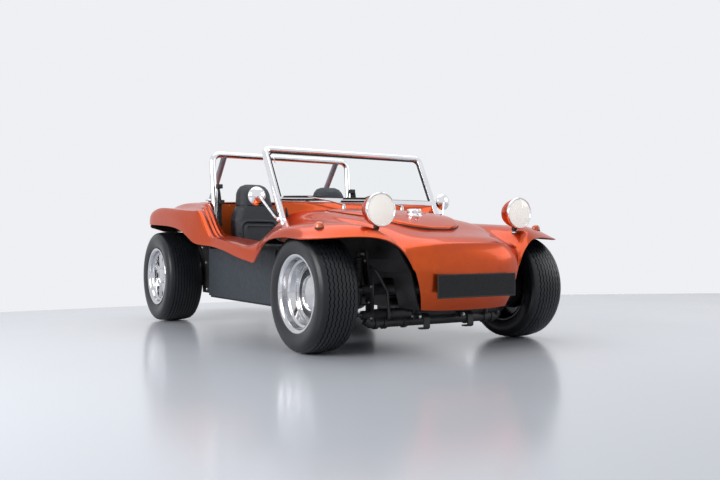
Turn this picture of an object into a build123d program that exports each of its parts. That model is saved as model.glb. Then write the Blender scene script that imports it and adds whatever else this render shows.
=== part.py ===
from build123d import *
from math import atan2, cos, degrees, hypot, pi, radians, sin
import os

# Dune buggy on a shortened floor pan, in millimetres.
# X runs to the car's left, Y to its rear, Z up. While it is built, y = 0 is the front axle line;
# every node is moved by frame_shift when it is written, so that the overall length is centred.

# ---- overall ----
wheelbase = 2116.0
front_end = -500.0            # front face of the number plate
rear_end = wheelbase + 684    # rearmost face of the silencer
frame_shift = -(front_end + rear_end) / 2
seam = 0.3                    # gap between panels that butt against each other
sheet = 8.0                   # bodywork laminate

# ---- wheels ----
rim_seat_radius = 190.5       # 15 inch bead seat
flange_radius = 207.5
flange_width = 7.0
front_wheel_x = 703.0         # centre plane of the front wheels
front_tyre_radius = 312.0
front_tyre_width = 230.0
front_rim_width = 204.0
front_disc_inset = 100.0      # wheel disc behind the outer flange
rear_wheel_x = 748.0
rear_tyre_radius = 328.0
rear_tyre_width = 264.0
rear_rim_width = 242.0
rear_disc_inset = 55.0
cap_radius = 98.0
drum_radius = 128.0
rear_hub_x = 622.0            # inner face of the rear brake drums

# ---- front suspension and steering ----
kingpin_x = 566.0
spindle_radius = 17.0
running_clearance = 0.5
beam_y = -130.0
lower_tube_z = 195.0
upper_tube_z = 330.0
beam_tube_radius = 30.0
eye_half = 12.0               # half height of a trailing arm's eye
lower_eye_z = 213.0
upper_eye_z = 408.0
steering_arm = 112.0          # kingpin axis to tie rod eye
arm_z = 268.0
arm_height = 16.0
tie_rod_radius = 11.0
lug_x = 150.0
lug_hole_radius = 8.0
lug_plate = 10.0
lug_z = 112.0

# ---- floor pan ----
floor_z = 205.0
floor_thick = 10.0
floor_front = 330.0
floor_front_x = 400.0         # half width of the floor ahead of the firewall, clear of the steered tyres
firewall_y = 438.0
bulkhead_y = wheelbase - 341  # front face of the wall behind the seats
floor_rear = bulkhead_y - 275 # where the floor narrows for the rear wheels
torsion_y = bulkhead_y + 55   # rear torsion tube
bulkhead_top = 858.0
firewall_step = 555.0         # the firewall is narrower above this height
firewall_top = 700.0
panel_x = 692.0               # side panels of the tub
panel_thick = 8.0
panel_top = 535.0
tunnel_width = 190.0
tunnel_height = 150.0

# ---- cockpit opening ----
cockpit_x = 536.0              # inner edge of the sills
cowl_front_y = 405.0          # rear edge of the deck and the front fenders
cowl_rear_y = 700.0
sill_rear_y = bulkhead_y - 675
deck_rear_y = wheelbase + 134
fender_rear_y = wheelbase + 334

# ---- windscreen and roll bar ----
post_x = 558.0
screen_foot = (585.0, 690.0)  # y, z of the post feet
screen_rake = 29.0            # degrees back from vertical
screen_post = 532.0           # foot to centre of the top rail
screen_bar = 160.0            # foot to centre of the bottom bar
screen_tube = 20.0
glass_thick = 6.0
hoop_x = 552.0
hoop_top = (bulkhead_y + 3, 1212.0)
hoop_foot_y = bulkhead_y - 100
hoop_tube = 23.0
brace_x = 470.0
brace_foot = (wheelbase - 60, 838.0)

# ---- seats and controls ----
seat_width = 400.0
seat_gap = 16.0               # seat to the side lining
seat_x = cockpit_x - sheet - seat_gap - seat_width / 2
seat_y = bulkhead_y - 85      # rearmost point of the headrest
seat_base_z = 275.0
headrest_z = 1006.0
lever_y = sill_rear_y - 200
steering_centre = (seat_x + 26, cowl_rear_y + 390, 742.0)
steering_radius = 172.0
column_rake = 27.0            # degrees of the column above the horizontal

# ---- lamps and fittings ----
lamp_x = 472.0
lamp_y = -308.0               # face of the lens
lamp_z = 746.0
lamp_radius = 89.0
lamp_depth = 118.0
mirror_at = (700.0, 705.0, 857.0)
mirror_radius = 57.0
plate_size = (520.0, 122.0)
plate_z = 356.0
plate_thick = 6.0

# ---- engine ----
crank_z = 345.0
head_top = 65.0               # cylinder heads' top above the crankshaft
engine_front_y = wheelbase + 124
engine_rear_y = wheelbase + 444
shroud_y = wheelbase + 324
shroud_width = 600.0
shroud_top_z = 765.0
silencer_radius = 72.0
silencer_z = 292.0

parts = {}


def block(x_low, x_high, y_low, y_high, z_low, z_high):
    """A box between its low and high corners."""
    centre = Pos((x_low + x_high) / 2, (y_low + y_high) / 2, (z_low + z_high) / 2)
    return centre * Box(x_high - x_low, y_high - y_low, z_high - z_low)


def rod(start, end, radius):
    """A round bar between two points."""
    run = Vector(*end) - Vector(*start)
    return extrude(Plane(origin=start, z_dir=run) * Circle(radius), run.length)


def bent_bar(points, radius, bend):
    """A round bar along straight runs joined by arcs."""
    path = FilletPolyline(*points, radius=bend)
    return sweep(Plane(origin=path @ 0, z_dir=path % 0) * Circle(radius), path=path)


def face_x(x, outline):
    """Closed outline of (y, z) points at one x."""
    return make_face(Polyline(*[(x, y, z) for y, z in outline], close=True))


def face_y(y, outline):
    """Closed outline of (x, z) points at one y."""
    return make_face(Polyline(*[(x, y, z) for x, z in outline], close=True))


def face_z(z, outline):
    """Closed outline of (x, y) points at one z."""
    return make_face(Polyline(*[(x, y, z) for x, y in outline], close=True))


def band(outline, wall):
    """A sheet's outline: the open run of points, then the same run moved to its right by the wall."""
    moved = []
    for number, point in enumerate(outline):
        before = outline[max(number - 1, 0)]
        after = outline[min(number + 1, len(outline) - 1)]
        run = (after[0] - before[0], after[1] - before[1])
        length = hypot(*run)
        moved.append((point[0] + wall * run[1] / length, point[1] - wall * run[0] / length))
    return outline + moved[::-1]


def to_left(shape):
    """The same shape on the other side of the car."""
    return mirror(shape, about=Plane.YZ)


def spun(profile, x, y, z):
    """Turns a profile of (x, radius) points about the X axis, then moves it to a centre."""
    face = make_face(Polyline(*[(a, 0, r) for a, r in profile], close=True))
    return Pos(x, y, z) * revolve(face, Axis.X, 360)


def save_pair(name, shape):
    """Keeps a right-hand shape, built at negative x, and its mirror image."""
    parts[name + "_right"] = shape
    parts[name + "_left"] = to_left(shape)


# ---- wheels ----
# name, centre x, centre y, tyre radius, tyre width, rim width, disc inset
wheel_rows = [
    ("front", front_wheel_x, 0.0, front_tyre_radius, front_tyre_width, front_rim_width,
     front_disc_inset),
    ("rear", rear_wheel_x, wheelbase, rear_tyre_radius, rear_tyre_width, rear_rim_width,
     rear_disc_inset),
]


def tyre(radius, width, rim_width):
    """Tyre body from bead to bead; the tread is plain."""
    bead = rim_width / 2 - flange_width - seam
    side = width / 2
    half = [(bead, rim_seat_radius), (bead, flange_radius + 2), (side, flange_radius + 30),
            (side - 9, radius - 28), (side - 34, radius)]
    return [(x, r) for x, r in half] + [(-x, r) for x, r in half[::-1]]


def barrel(rim_width):
    """Rim barrel with both flanges, as (x, radius) from its middle."""
    edge = rim_width / 2
    seat = rim_seat_radius - seam
    return [(-edge, seat - 7), (-edge, flange_radius), (-edge + flange_width, flange_radius),
            (-edge + flange_width, seat), (edge - flange_width, seat),
            (edge - flange_width, flange_radius), (edge, flange_radius), (edge, seat - 7)]


# steps inside a rim, from its outer face inwards: depth from that face, radius
front_steps = [(0, 184), (6, 178), (46, 174), (50, 163), (82, 159), (86, 136), (92, 132), (104, 118),
               (104, 92), (118, 92), (118, 184)]
rear_steps = [(0, 184), (6, 178), (34, 174), (38, 167), (58, 166), (66, 184)]
window_count = 8              # windows between the spokes of a rear wheel
window_outline = [(108, -7), (163, -37), (163, 37), (108, 7)]
drum_depth = 55.0

for name, x, y, radius, width, rim_width, inset in wheel_rows:
    save_pair(name + "_tyre", spun(tyre(radius, width, rim_width), -x, y, radius))
    face_at = -x - rim_width / 2
    steps = front_steps if name == "front" else rear_steps
    shell = spun(barrel(rim_width), -x, y, radius) + spun(steps, face_at, y, radius)
    disc_at = face_at + inset
    centre = Pos(disc_at, y, radius) * Rot(0, 90, 0)
    # the disc reaches from the cap to the barrel
    web = centre * Pos(0, 0, 10) * Cylinder(rim_seat_radius - 4, 10)
    if name == "rear":
        window = extrude(make_face(Polyline(*window_outline, close=True)), 40)
        web -= [centre * Rot(0, 0, turn * 360 / window_count) * Pos(0, 0, -10) * window
                for turn in range(window_count)]
    cap = centre * Pos(0, 0, -4) * Cylinder(cap_radius, 22)
    cap += centre * Pos(0, 0, -19) * Cylinder(cap_radius - 22, 12)
    hub_in = -kingpin_x - 44 if name == "front" else -rear_hub_x
    drum = rod((hub_in, y, radius), (hub_in - drum_depth, y, radius), drum_radius)
    drum += rod((hub_in, y, radius), (disc_at + 5, y, radius), cap_radius - 12)
    wheel = shell + web + cap + drum
    bore_end = disc_at + (25 if name == "front" else 35)
    wheel -= rod((-kingpin_x, y, radius), (bore_end, y, radius), spindle_radius + running_clearance)
    save_pair(name + "_rim", wheel)

# ---- front knuckles: kingpin post, spindle, backing plate and steering arm ----
spindle_end = front_wheel_x + front_rim_width / 2 - front_disc_inset - 30
axle_z = front_tyre_radius
post = rod((-kingpin_x, 0, lower_eye_z + eye_half + seam), (-kingpin_x, 0, upper_eye_z - eye_half - seam), 22)
spindle = rod((-kingpin_x, 0, axle_z), (-spindle_end, 0, axle_z), spindle_radius)
backing = rod((-kingpin_x - 34, 0, axle_z), (-kingpin_x - 40, 0, axle_z), drum_radius - 6)
boss = rod((-kingpin_x, 0, axle_z), (-kingpin_x - 38, 0, axle_z), 34)
arm = block(-kingpin_x - 14, -kingpin_x + 14, 0, steering_arm, arm_z - arm_height, arm_z)
arm += rod((-kingpin_x, steering_arm, arm_z - arm_height), (-kingpin_x, steering_arm, arm_z), 18)
save_pair("front_knuckle", post + spindle + backing + boss + arm)

tie_z = arm_z + seam + tie_rod_radius
tie = rod((-kingpin_x + 24, steering_arm, tie_z), (kingpin_x - 24, steering_arm, tie_z), tie_rod_radius)
for side in (-1, 1):
    eye = rod((side * kingpin_x, steering_arm, arm_z + seam),
              (side * kingpin_x, steering_arm, arm_z + seam + 2 * tie_rod_radius), 19)
    neck = block(*sorted((side * (kingpin_x - 60), side * (kingpin_x - 4))), steering_arm - 9,
                 steering_arm + 9, arm_z + seam, arm_z + seam + 2 * tie_rod_radius)
    tie += eye + neck
parts["tie_rod"] = tie

# ---- front axle beam: two tubes, end plates with shock towers, trailing arms, tow lugs ----
beam = rod((-440, beam_y, lower_tube_z), (440, beam_y, lower_tube_z), beam_tube_radius)
beam += rod((-440, beam_y, upper_tube_z), (440, beam_y, upper_tube_z), beam_tube_radius)
for x in (-430, -165, 165, 430):
    beam += block(x - 6, x + 6, beam_y - 34, beam_y + 34, lower_tube_z - 34, upper_tube_z + 34)
for side in (-1, 1):
    near, far = sorted((side * 425, side * 437))
    tower = face_x(near, [(beam_y - 20, upper_tube_z), (beam_y + 30, upper_tube_z + 210),
                          (beam_y + 90, upper_tube_z + 210), (beam_y + 40, upper_tube_z)])
    beam += extrude(tower, far - near, dir=(1, 0, 0))
    lug_low, lug_high = sorted((side * (lug_x - 22), side * (lug_x + 22)))
    beam += block(lug_low, lug_high, beam_y - 70, beam_y + 20, lug_z, lug_z + lug_plate)
    web_low, web_high = sorted((side * (lug_x - 22), side * (lug_x - 12)))
    beam += block(web_low, web_high, beam_y - 20, beam_y + 20, lug_z, lower_tube_z)
    beam -= rod((side * lug_x, beam_y - 45, lug_z - 5), (side * lug_x, beam_y - 45, lug_z + 20),
                lug_hole_radius)
    # trailing arms reach back from the tube ends to the kingpin post
    for tube_z, post_z in ((lower_tube_z, lower_eye_z), (upper_tube_z, upper_eye_z)):
        beam += rod((side * 430, beam_y, tube_z), (side * 480, beam_y, tube_z), 24)
        beam += bent_bar([(side * 450, beam_y, tube_z), (side * 504, beam_y, tube_z),
                          (side * (kingpin_x - 36), 0, post_z), (side * (kingpin_x - 6), 0, post_z)],
                         10.5, 14)
        beam += rod((side * kingpin_x, 0, post_z - eye_half), (side * kingpin_x, 0, post_z + eye_half),
                    22)
# the frame head ties the beam to the floor pan's tunnel
beam += block(-85, 85, beam_y + 20, floor_front - seam, lower_tube_z - 20, arm_z - arm_height - 12)
parts["front_beam"] = beam

shock_y = beam_y + 66
shock = rod((-462, shock_y, lower_tube_z + 46), (-462, shock_y, upper_tube_z + 170), 24)
shock += rod((-462, shock_y, upper_tube_z + 165), (-462, shock_y, upper_tube_z + 200), 9)
shock += rod((-462, shock_y, upper_tube_z + 190), (-437 - seam, shock_y, upper_tube_z + 190), 9)
parts["front_shocks"] = shock + to_left(shock)

# ---- floor pan with its tunnel, side panels ----
pan_x = panel_x - panel_thick - seam
pan = block(-pan_x, pan_x, firewall_y - 8, floor_rear, floor_z, floor_z + floor_thick)
pan += block(-floor_front_x, floor_front_x, floor_front, firewall_y, floor_z, floor_z + floor_thick)
pan += block(-586, 586, floor_rear, bulkhead_y + sheet, floor_z, floor_z + floor_thick)
tunnel = block(-tunnel_width / 2, tunnel_width / 2, floor_front, bulkhead_y - seam,
               floor_z, floor_z + tunnel_height)
tunnel_bore = block(-tunnel_width / 2 + 4, tunnel_width / 2 - 4, floor_front - 1, bulkhead_y,
                    floor_z - 1, floor_z + tunnel_height - 4)
pan = pan - block(-tunnel_width / 2 + 4, tunnel_width / 2 - 4, floor_front + 40, bulkhead_y - 40,
                  floor_z - 1, floor_z + floor_thick + 1) + (tunnel - tunnel_bore)
parts["floor_pan"] = pan

side_panel = block(-panel_x, -panel_x + panel_thick, firewall_y + 32, floor_rear + 12, floor_z + 12, panel_top)
side_panel += block(-panel_x, -596 - seam, floor_rear + seam, floor_rear + 8, floor_z + 12, panel_top + 60)
save_pair("side_panel", side_panel)

# ---- bodywork: sheets lofted through a few sections ----
# nose, in plan: z, half width, y at the edge, y at the middle
nose_rows = [
    (225, 288, -388, -430),
    (300, 312, -420, -478),
    (420, 336, -432, -486),
    (490, 385, -425, -468),
    (556 - seam, 424, -356, -442),
]
nose_lip = 34


def nose_run(half, edge, middle):
    """Plan of the nose from the right-hand lip round the front to the left-hand lip."""
    round_front = [(half * sin(radians(a)), edge + (middle - edge) * cos(radians(a)))
                   for a in (-90, -60, -30, 0, 30, 60, 90)]
    return [(-half, edge + nose_lip)] + round_front + [(half, edge + nose_lip)]


nose_faces = [face_z(z, band(nose_run(half, edge, middle), -sheet))
              for z, half, edge, middle in nose_rows]
nose = loft(nose_faces, ruled=True)
parts["nose"] = nose

# front deck, in side view: half width, then (y, z) of brow, first and second crease, and on to the cowl
deck_rows = [
    (0, (-442, 562), (-430, 577), (-365, 605), (-180, 645), (0, 702), (220, 752), (cowl_front_y, 777)),
    (150, (-434, 562), (-420, 577), (-358, 603), (-180, 645), (0, 701), (220, 751), (cowl_front_y, 775)),
    (300, (-404, 562), (-388, 574), (-330, 595), (-180, 640), (0, 694), (220, 737), (cowl_front_y, 757)),
    (420, (-356, 563), (-328, 577), (-300, 592), (-180, 624), (0, 680), (220, 703), (cowl_front_y, 712)),
]
behind = block(-900, 900, cowl_front_y, cowl_front_y + 60, 300, 900)
deck_faces = [face_x(-half, band(list(points), sheet)) for half, *points in deck_rows[::-1]]
deck_faces += [face_x(half, band(list(points), sheet)) for half, *points in deck_rows[1:]]
deck = loft(deck_faces, ruled=True)
parts["front_deck"] = deck - behind

# front fender, in side view: half width, then six (y, z) points from the front edge to the sill
fender_rows = [
    (420 + seam, (-356, 563), (-300, 592), (-180, 624), (0, 680), (220, 703), (cowl_front_y, 712)),
    (520, (-352, 600), (-300, 625), (-170, 650), (0, 682), (230, 696), (cowl_front_y, 701)),
    (640, (-305, 610), (-240, 635), (-130, 656), (20, 677), (220, 688), (cowl_front_y, 676)),
    (760, (-255, 606), (-190, 632), (-80, 655), (60, 664), (230, 668), (cowl_front_y, 614)),
    (830, (-205, 600), (-140, 622), (-30, 644), (80, 652), (240, 640), (cowl_front_y, 530)),
    (862, (-110, 598), (-60, 606), (0, 611), (130, 603), (290, 593), (cowl_front_y, 478)),
]
fender_faces = [face_x(-half, band(list(points), sheet)) for half, *points in fender_rows]
front_fender = loft(fender_faces, ruled=True) - behind
save_pair("front_fender", front_fender)

# sill, in cross-section: y, then six (x, z) points from the outer lip to the cockpit edge
sill_rows = [
    (cowl_front_y + seam, (860, 480), (830, 530), (760, 612), (640, 675), (590, 692), (cockpit_x, 698)),
    (520, (848, 478), (834, 510), (760, 562), (664, 648), (606, 686), (cockpit_x, 692)),
    (625, (844, 484), (836, 512), (750, 548), (662, 606), (606, 648), (cockpit_x, 664)),
    (700, (843, 493), (828, 520), (798, 545), (680, 566), (600, 576), (cockpit_x, 578)),
    ((cowl_rear_y + sill_rear_y) / 2, (842, 531), (827, 554), (799, 575), (680, 579), (600, 580), (cockpit_x, 580)),
    (sill_rear_y, (842, 556), (828, 578), (793, 600), (680, 600), (600, 599), (cockpit_x, 598)),
]
sill = loft([face_y(y, band([(-x, z) for x, z in points], sheet)) for y, *points in sill_rows],
            ruled=True)
save_pair("sill", sill)

# rear fender: each column rises from the sill, fluted, to its shoulder and on to the fender's crown
# x where the fender is widest, y of foot and shoulder from the bulkhead, z of shoulder and crown, lift of its flute
fender_columns = [
    (828, -625, -425, 782, 832, 0),
    (800, -605, -375, 797, 830, 14),
    (768, -575, -325, 806, 829, -12),
    (735, -545, -265, 818, 834, 9),
    (702, -495, -205, 832, 860, -12),
    (662, -435, -125, 850, 873, 12),
    (625, -365, -55, 860, 873, 0),
]
# y, x and z of the lip, x and z of the edge above it, x of the inner edge, fall from the crown
fender_rows_rear = [
    (sill_rear_y + seam, 842, 556, 828, 578, cockpit_x, 0),
    (bulkhead_y - 575, 855, 560, 844, 586, 548, 0),
    (bulkhead_y - 475, 868, 568, 860, 610, 560, 0),
    (bulkhead_y - 375, 878, 596, 874, 660, 580, 0),
    (bulkhead_y - 255, 884, 662, 885, 730, 600, 0),
    (bulkhead_y - 155, 885, 680, 886, 765, 600, 0),
    (bulkhead_y - 75, 886, 690, 887, 782, 600, 0),
    (bulkhead_y, 886, 695, 887, 788, 600, 0),
    (bulkhead_y + 225, 886, 702, 887, 794, 600, 0),
    (deck_rear_y, 882, 712, 882, 782, 600, 26),
    (fender_rear_y, 806, 716, 806, 738, 600, 95),
]
sill_level = 600.0            # top of the sill where the rear fender starts
sill_climb = 0.085            # its climb to the rear
inner_column = (-315, 0, 864, 873, 0)


def column_height(y, foot, shoulder, shoulder_z, crown_z, lift):
    """Height of one column of the rear fender at y."""
    low = sill_level + sill_climb * (y - sill_rear_y)
    share = (y - bulkhead_y - foot) / (shoulder - foot)
    if share <= 0:
        return low
    if share < 1:
        return low + (shoulder_z - low) * share * share * (3 - 2 * share) + lift * sin(pi * share)
    onward = (y - bulkhead_y - shoulder) / (225 - shoulder)
    return shoulder_z + (crown_z - shoulder_z) * min(onward, 1)


rear_rows = []
for y, lip_x, lip_z, edge_x, edge_z, inner_x, fall in fender_rows_rear:
    points = [(lip_x, lip_z), (edge_x, edge_z)]
    for x, *heights in fender_columns:
        points.append((600 + (x - 600) * (lip_x - 600) / 286, column_height(y, *heights) - fall))
    points.append((inner_x, column_height(y, *inner_column) - fall))
    rear_rows.append((y, *points))
rear_fender = loft([face_y(y, band([(-x, z) for x, z in points], sheet)) for y, *points in rear_rows],
                   ruled=True)
tail = [(-x, z - 3) for x, z in rear_rows[-1][2:]] + [(-612, 690), (-790, 690)]
rear_fender += extrude(face_y(fender_rear_y, tail), sheet, dir=(0, -1, 0))
save_pair("rear_fender", rear_fender)

# rear deck over the gearbox, in cross-section: y, then (x, z) of its edge, shoulder and middle
rear_deck_rows = [
    (bulkhead_y - seam, (600 - seam, 867), (500, 876), (0, 880)),
    (bulkhead_y + 225, (600 - seam, 873), (500, 880), (0, 884)),
    (deck_rear_y, (600 - seam, 847), (500, 852), (0, 856)),
]


def across(points):
    """The same run from the right-hand edge to the left-hand edge."""
    return [(-x, z) for x, z in points] + [(x, z) for x, z in points[-2::-1]]


rear_deck = loft([face_y(y, band(across(points), sheet)) for y, *points in rear_deck_rows], ruled=True)
parts["rear_deck"] = rear_deck
parts["rear_bulkhead"] = block(-587, 587, bulkhead_y, bulkhead_y + sheet,
                               floor_z + floor_thick + seam, bulkhead_top)

# cowl under the windscreen: y, then (x, z) of its foot, shoulder, haunch, quarter and middle
cowl_rows = [
    (cowl_front_y + 2 * seam, (cockpit_x - seam, 698), (480, 706), (420, 712), (300, 757), (0, 777)),
    (560, (cockpit_x - seam, 692), (524, 744), (440, 766), (300, 782), (0, 790)),
    (cowl_rear_y, (cockpit_x - seam, 690), (526, 776), (450, 790), (300, 796), (0, 800)),
]
cowl = loft([face_y(y, band(across(points), sheet)) for y, *points in cowl_rows], ruled=True)
parts["cowl"] = cowl
parts["dashboard"] = block(-520, 520, cowl_rear_y - 16, cowl_rear_y - 4, 628, 764)

# hood lid: a raised panel with a rounded front, following the deck a little above it
lid_lift = 6.0
lid_plan = [(-325, 395), (-335, 150), (-290, -30), (-190, -150), (0, -200),
            (190, -150), (290, -30), (335, 150), (325, 395)]
lid_faces = []
for half, *points in deck_rows[::-1]:
    lid_faces.append(face_x(-half, band([(y, z + lid_lift + sheet) for y, z in points], sheet)))
for half, *points in deck_rows[1:]:
    lid_faces.append(face_x(half, band([(y, z + lid_lift + sheet) for y, z in points], sheet)))
lid = loft(lid_faces, ruled=True) & extrude(face_z(400, lid_plan), 600, dir=(0, 0, 1))
# a seal under the lid's rim rests on the deck
seal_faces = []
for half, *points in deck_rows[::-1] + [(-half, *points) for half, *points in deck_rows[1:]]:
    seal_faces.append(face_x(-half, band([(y, z + lid_lift) for y, z in points], lid_lift - seam)))
rim_band = extrude(face_z(400, [(x * 0.94, 20 + (y - 20) * 0.92) for x, y in lid_plan]), 600, dir=(0, 0, 1))
rim_band -= extrude(face_z(400, [(x * 0.86, 20 + (y - 20) * 0.84) for x, y in lid_plan]), 600,
                    dir=(0, 0, 1))
lid = lid + (loft(seal_faces, ruled=True) & rim_band)
parts["hood_lid"] = lid
cap_y = 69
filler = rod((0, cap_y, 700), (0, cap_y, 772), 42)
filler = (filler - lid).solids().sort_by(Axis.Z)[-1]
parts["filler_cap"] = filler

# inner walls of the front wheel wells, in cross-section: y, top z
well_rows = [(-358, 541), (-180, 604), (0, 660), (250, 685), (firewall_y - seam, 696)]
well_faces = [face_y(y, band([(-277, 228), (-325, 420), (-372, 490), (-404, top)], sheet))
              for y, top in well_rows]
well = loft(well_faces, ruled=True)
notch = block(-450, -200, beam_y - 52, beam_y + 52, 200, 390)
arm_notch = block(-450, -200, steering_arm - 40, steering_arm + 40, 200, 330)
well = well - notch - arm_notch
parts["front_wells"] = well + to_left(well)
firewall_back = firewall_y + sheet
firewall = block(-pan_x, pan_x, firewall_y, firewall_back, floor_z + floor_thick + seam, firewall_step)
firewall += block(4 - floor_front_x, floor_front_x - 4, firewall_y, firewall_back, firewall_step - 5, firewall_top)
firewall -= block(-tunnel_width / 2 - seam, tunnel_width / 2 + seam, firewall_y - 8, firewall_back + 4,
                  floor_z, floor_z + tunnel_height + seam)
parts["firewall"] = firewall

# cockpit side linings, which run on as the inner walls of the rear wheel wells
lining_run = [(-cockpit_x, firewall_back + 1), (-cockpit_x, sill_rear_y), (-596, floor_rear),
              (-596, deck_rear_y - 10)]
lining = extrude(face_z(floor_z + floor_thick + seam, band(lining_run, sheet)), 700, dir=(0, 0, 1))
# its top follows the sill and the rear fender from below, and its rear lower corner is open
lining_top = [(y, points[-1][1] - 22) for y, *points in sill_rows + rear_rows[1:-1]]
lining_top = [(firewall_y, lining_top[0][1])] + lining_top[1:] + [(deck_rear_y + 10, 1000), (firewall_y, 1000)]
lining -= extrude(face_x(-700, lining_top), 300, dir=(1, 0, 0))
lining -= extrude(face_x(-700, [(torsion_y + 50, 200), (torsion_y + 100, 470), (deck_rear_y, 560),
                                (deck_rear_y, 200)]), 300, dir=(1, 0, 0))
save_pair("side_lining", lining)

# ---- windscreen: a tube frame in a raked plane, with its glass ----
rake = radians(screen_rake)
screen = Plane(origin=(0, *screen_foot), x_dir=(1, 0, 0), z_dir=(0, -cos(rake), sin(rake)))


def on_screen(x, up, out=0.0):
    """A point in the windscreen's plane."""
    point = screen.from_local_coords(Vector(x, up, out))
    return (point.X, point.Y, point.Z)


frame = bent_bar([on_screen(-post_x, -60), on_screen(-post_x, screen_post),
                  on_screen(post_x, screen_post), on_screen(post_x, -60)], screen_tube, 55)
frame += screen * Pos(0, screen_bar, 0) * Box(2 * post_x, 46, 24)
frame = (frame - sill - to_left(sill)).solids().sort_by(SortBy.VOLUME)[-1]
parts["windscreen_frame"] = frame
glass_low = screen_bar + 23 + seam
glass_high = screen_post - screen_tube - seam
glass_x = post_x - screen_tube - seam
glass = screen * Pos(0, (glass_low + glass_high) / 2, 0)
glass = glass * Box(2 * glass_x, glass_high - glass_low, glass_thick)
glass = glass - frame
parts["windscreen_glass"] = glass.solids().sort_by(SortBy.VOLUME)[-1]

# ---- roll bar: hoop and two rear braces ----
hoop_points = [(-hoop_x, hoop_foot_y, floor_z + floor_thick + seam), (-hoop_x, *hoop_top),
               (hoop_x, *hoop_top), (hoop_x, hoop_foot_y, floor_z + floor_thick + seam)]
roll_bar = bent_bar(hoop_points, hoop_tube, 75)
for side in (-1, 1):
    brace = rod((side * brace_x, *hoop_top), (side * brace_x, brace_foot[0], brace_foot[1]),
                hoop_tube - 2)
    roll_bar += (brace - rear_deck).solids().sort_by(Axis.Z)[-1]
parts["roll_bar"] = roll_bar - pan

# ---- seats ----
# side view of a seat: distance ahead of seat_y, z
seat_outline = [(678, seat_base_z), (695, 415), (630, 450), (250, 418), (212, 470), (92, headrest_z - 31),
                (65, headrest_z), (18, headrest_z - 8), (0, headrest_z - 46), (110, 480), (160, 330),
                (200, seat_base_z)]
seat_half = seat_width / 2
seat_side = [(seat_y - ahead, z) for ahead, z in seat_outline]
seat = extrude(face_x(-seat_x - seat_half, seat_side), seat_width, dir=(1, 0, 0))
tuck = 36                     # the base is this much narrower, so that it clears the tunnel
for side in (-1, 1):
    trim = face_y(seat_y - 800, [(-seat_x + side * (seat_half + 3), 700), (-seat_x + side * (seat_half - 50), 880),
                                 (-seat_x + side * (seat_half - 100), headrest_z + 4),
                                 (-seat_x + side * (seat_half + 60), headrest_z + 4),
                                 (-seat_x + side * (seat_half + 60), 700)])
    seat -= extrude(trim, 900, dir=(0, 1, 0))
    low, high = sorted((-seat_x + side * (seat_half - tuck), -seat_x + side * (seat_half + 5)))
    seat -= block(low, high, seat_y - 800, seat_y, 200, floor_z + tunnel_height + 10)
save_pair("seat", seat)
runner_low, runner_high = floor_z + floor_thick + seam, seat_base_z - seam
runners = block(-seat_x - 160, -seat_x - 120, seat_y - 630, seat_y - 250, runner_low, runner_high)
runners += block(-seat_x + 120, -seat_x + 160, seat_y - 630, seat_y - 250, runner_low, runner_high)
runners += block(-seat_x - 160, -seat_x + 160, seat_y - 510, seat_y - 390, runner_high - 25, runner_high)
parts["seat_runners"] = runners + to_left(runners)

belts = []
for side in (-1, 1):
    strap = face_x(side * hoop_x - 23, [(hoop_foot_y + 13, 985), (hoop_foot_y + 16, 985),
                                        (hoop_foot_y - 34, 480), (hoop_foot_y - 37, 480)])
    strap = extrude(strap, 46, dir=(1, 0, 0))
    reel_low, reel_high = sorted((side * (hoop_x - 30), side * (596 - sheet - seam)))
    strap += block(reel_low, reel_high, hoop_foot_y - 63, hoop_foot_y - 23, 400, 484)
    strap += block(side * hoop_x - 26, side * hoop_x + 26, hoop_foot_y + 9, hoop_foot_y + 37, 972, 992)
    belts.append(strap)
parts["seat_belts"] = belts[0] + belts[1]

# ---- steering wheel and column, pedals, levers ----
column_tilt = radians(column_rake)
column_way = Vector(0, cos(column_tilt), sin(column_tilt))
hub = Vector(*steering_centre)
wheel_plane = Plane(origin=steering_centre, x_dir=(1, 0, 0), z_dir=column_way)
steering = wheel_plane * Torus(steering_radius, 13)
steering += wheel_plane * Pos(0, 0, -14) * Cylinder(34, 40)
for turn in (0, 120, 240):
    steering += wheel_plane * Rot(0, 0, turn - 90) * Pos(96, 0, -4) * Box(152, 24, 6)
shaft_end = 90
steering += rod(tuple(hub - column_way * shaft_end), tuple(hub), 10)
parts["steering_wheel"] = steering
column_start = hub - column_way * 40
column_run = (column_start.Y - firewall_back - seam) / cos(column_tilt)
column = rod(tuple(column_start), tuple(column_start - column_way * (column_run - 12)), 21)
column -= rod(tuple(column_start + column_way), tuple(hub - column_way * (shaft_end + 6)),
              10 + running_clearance)
column += block(hub.X - 24, hub.X + 24, cowl_rear_y - 16, cowl_rear_y - 4, 520, 628)
parts["steering_column"] = column

tunnel_top = floor_z + tunnel_height
lever = rod((0, lever_y + 2, tunnel_top + 10), (0, lever_y + 40, tunnel_top + 235), 8)
lever += Pos(0, lever_y + 42, tunnel_top + 251) * Sphere(24)
lever += rod((0, lever_y, tunnel_top + seam), (0, lever_y, tunnel_top + 22), 34)
brake = rod((0, lever_y + 220, tunnel_top + 20), (0, lever_y + 80, tunnel_top + 115), 9)
brake += block(-14, 14, lever_y + 190, lever_y + 260, tunnel_top + seam, tunnel_top + 34)
parts["gear_lever"] = lever
parts["handbrake"] = brake
pedals = []
for x in (seat_x - 82, seat_x + 8, seat_x + 98):
    pedal = block(x - 30, x + 30, firewall_back + 24, firewall_back + 32, 300, 380)
    pedal += block(x - 7, x + 7, firewall_back + seam, firewall_back + 28, 330, 350)
    pedals.append(pedal)
parts["pedals"] = pedals[0] + pedals[1] + pedals[2]

# ---- lamps, mirrors, wipers, number plate ----


def spun_y(profile, x, y, z):
    """Turns a profile of (y, radius) points about the Y axis, then moves it to a centre."""
    face = make_face(Polyline(*[(r, a, 0) for a, r in profile], close=True))
    return Pos(x, y, z) * revolve(face, Axis.Y, 360)


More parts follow.
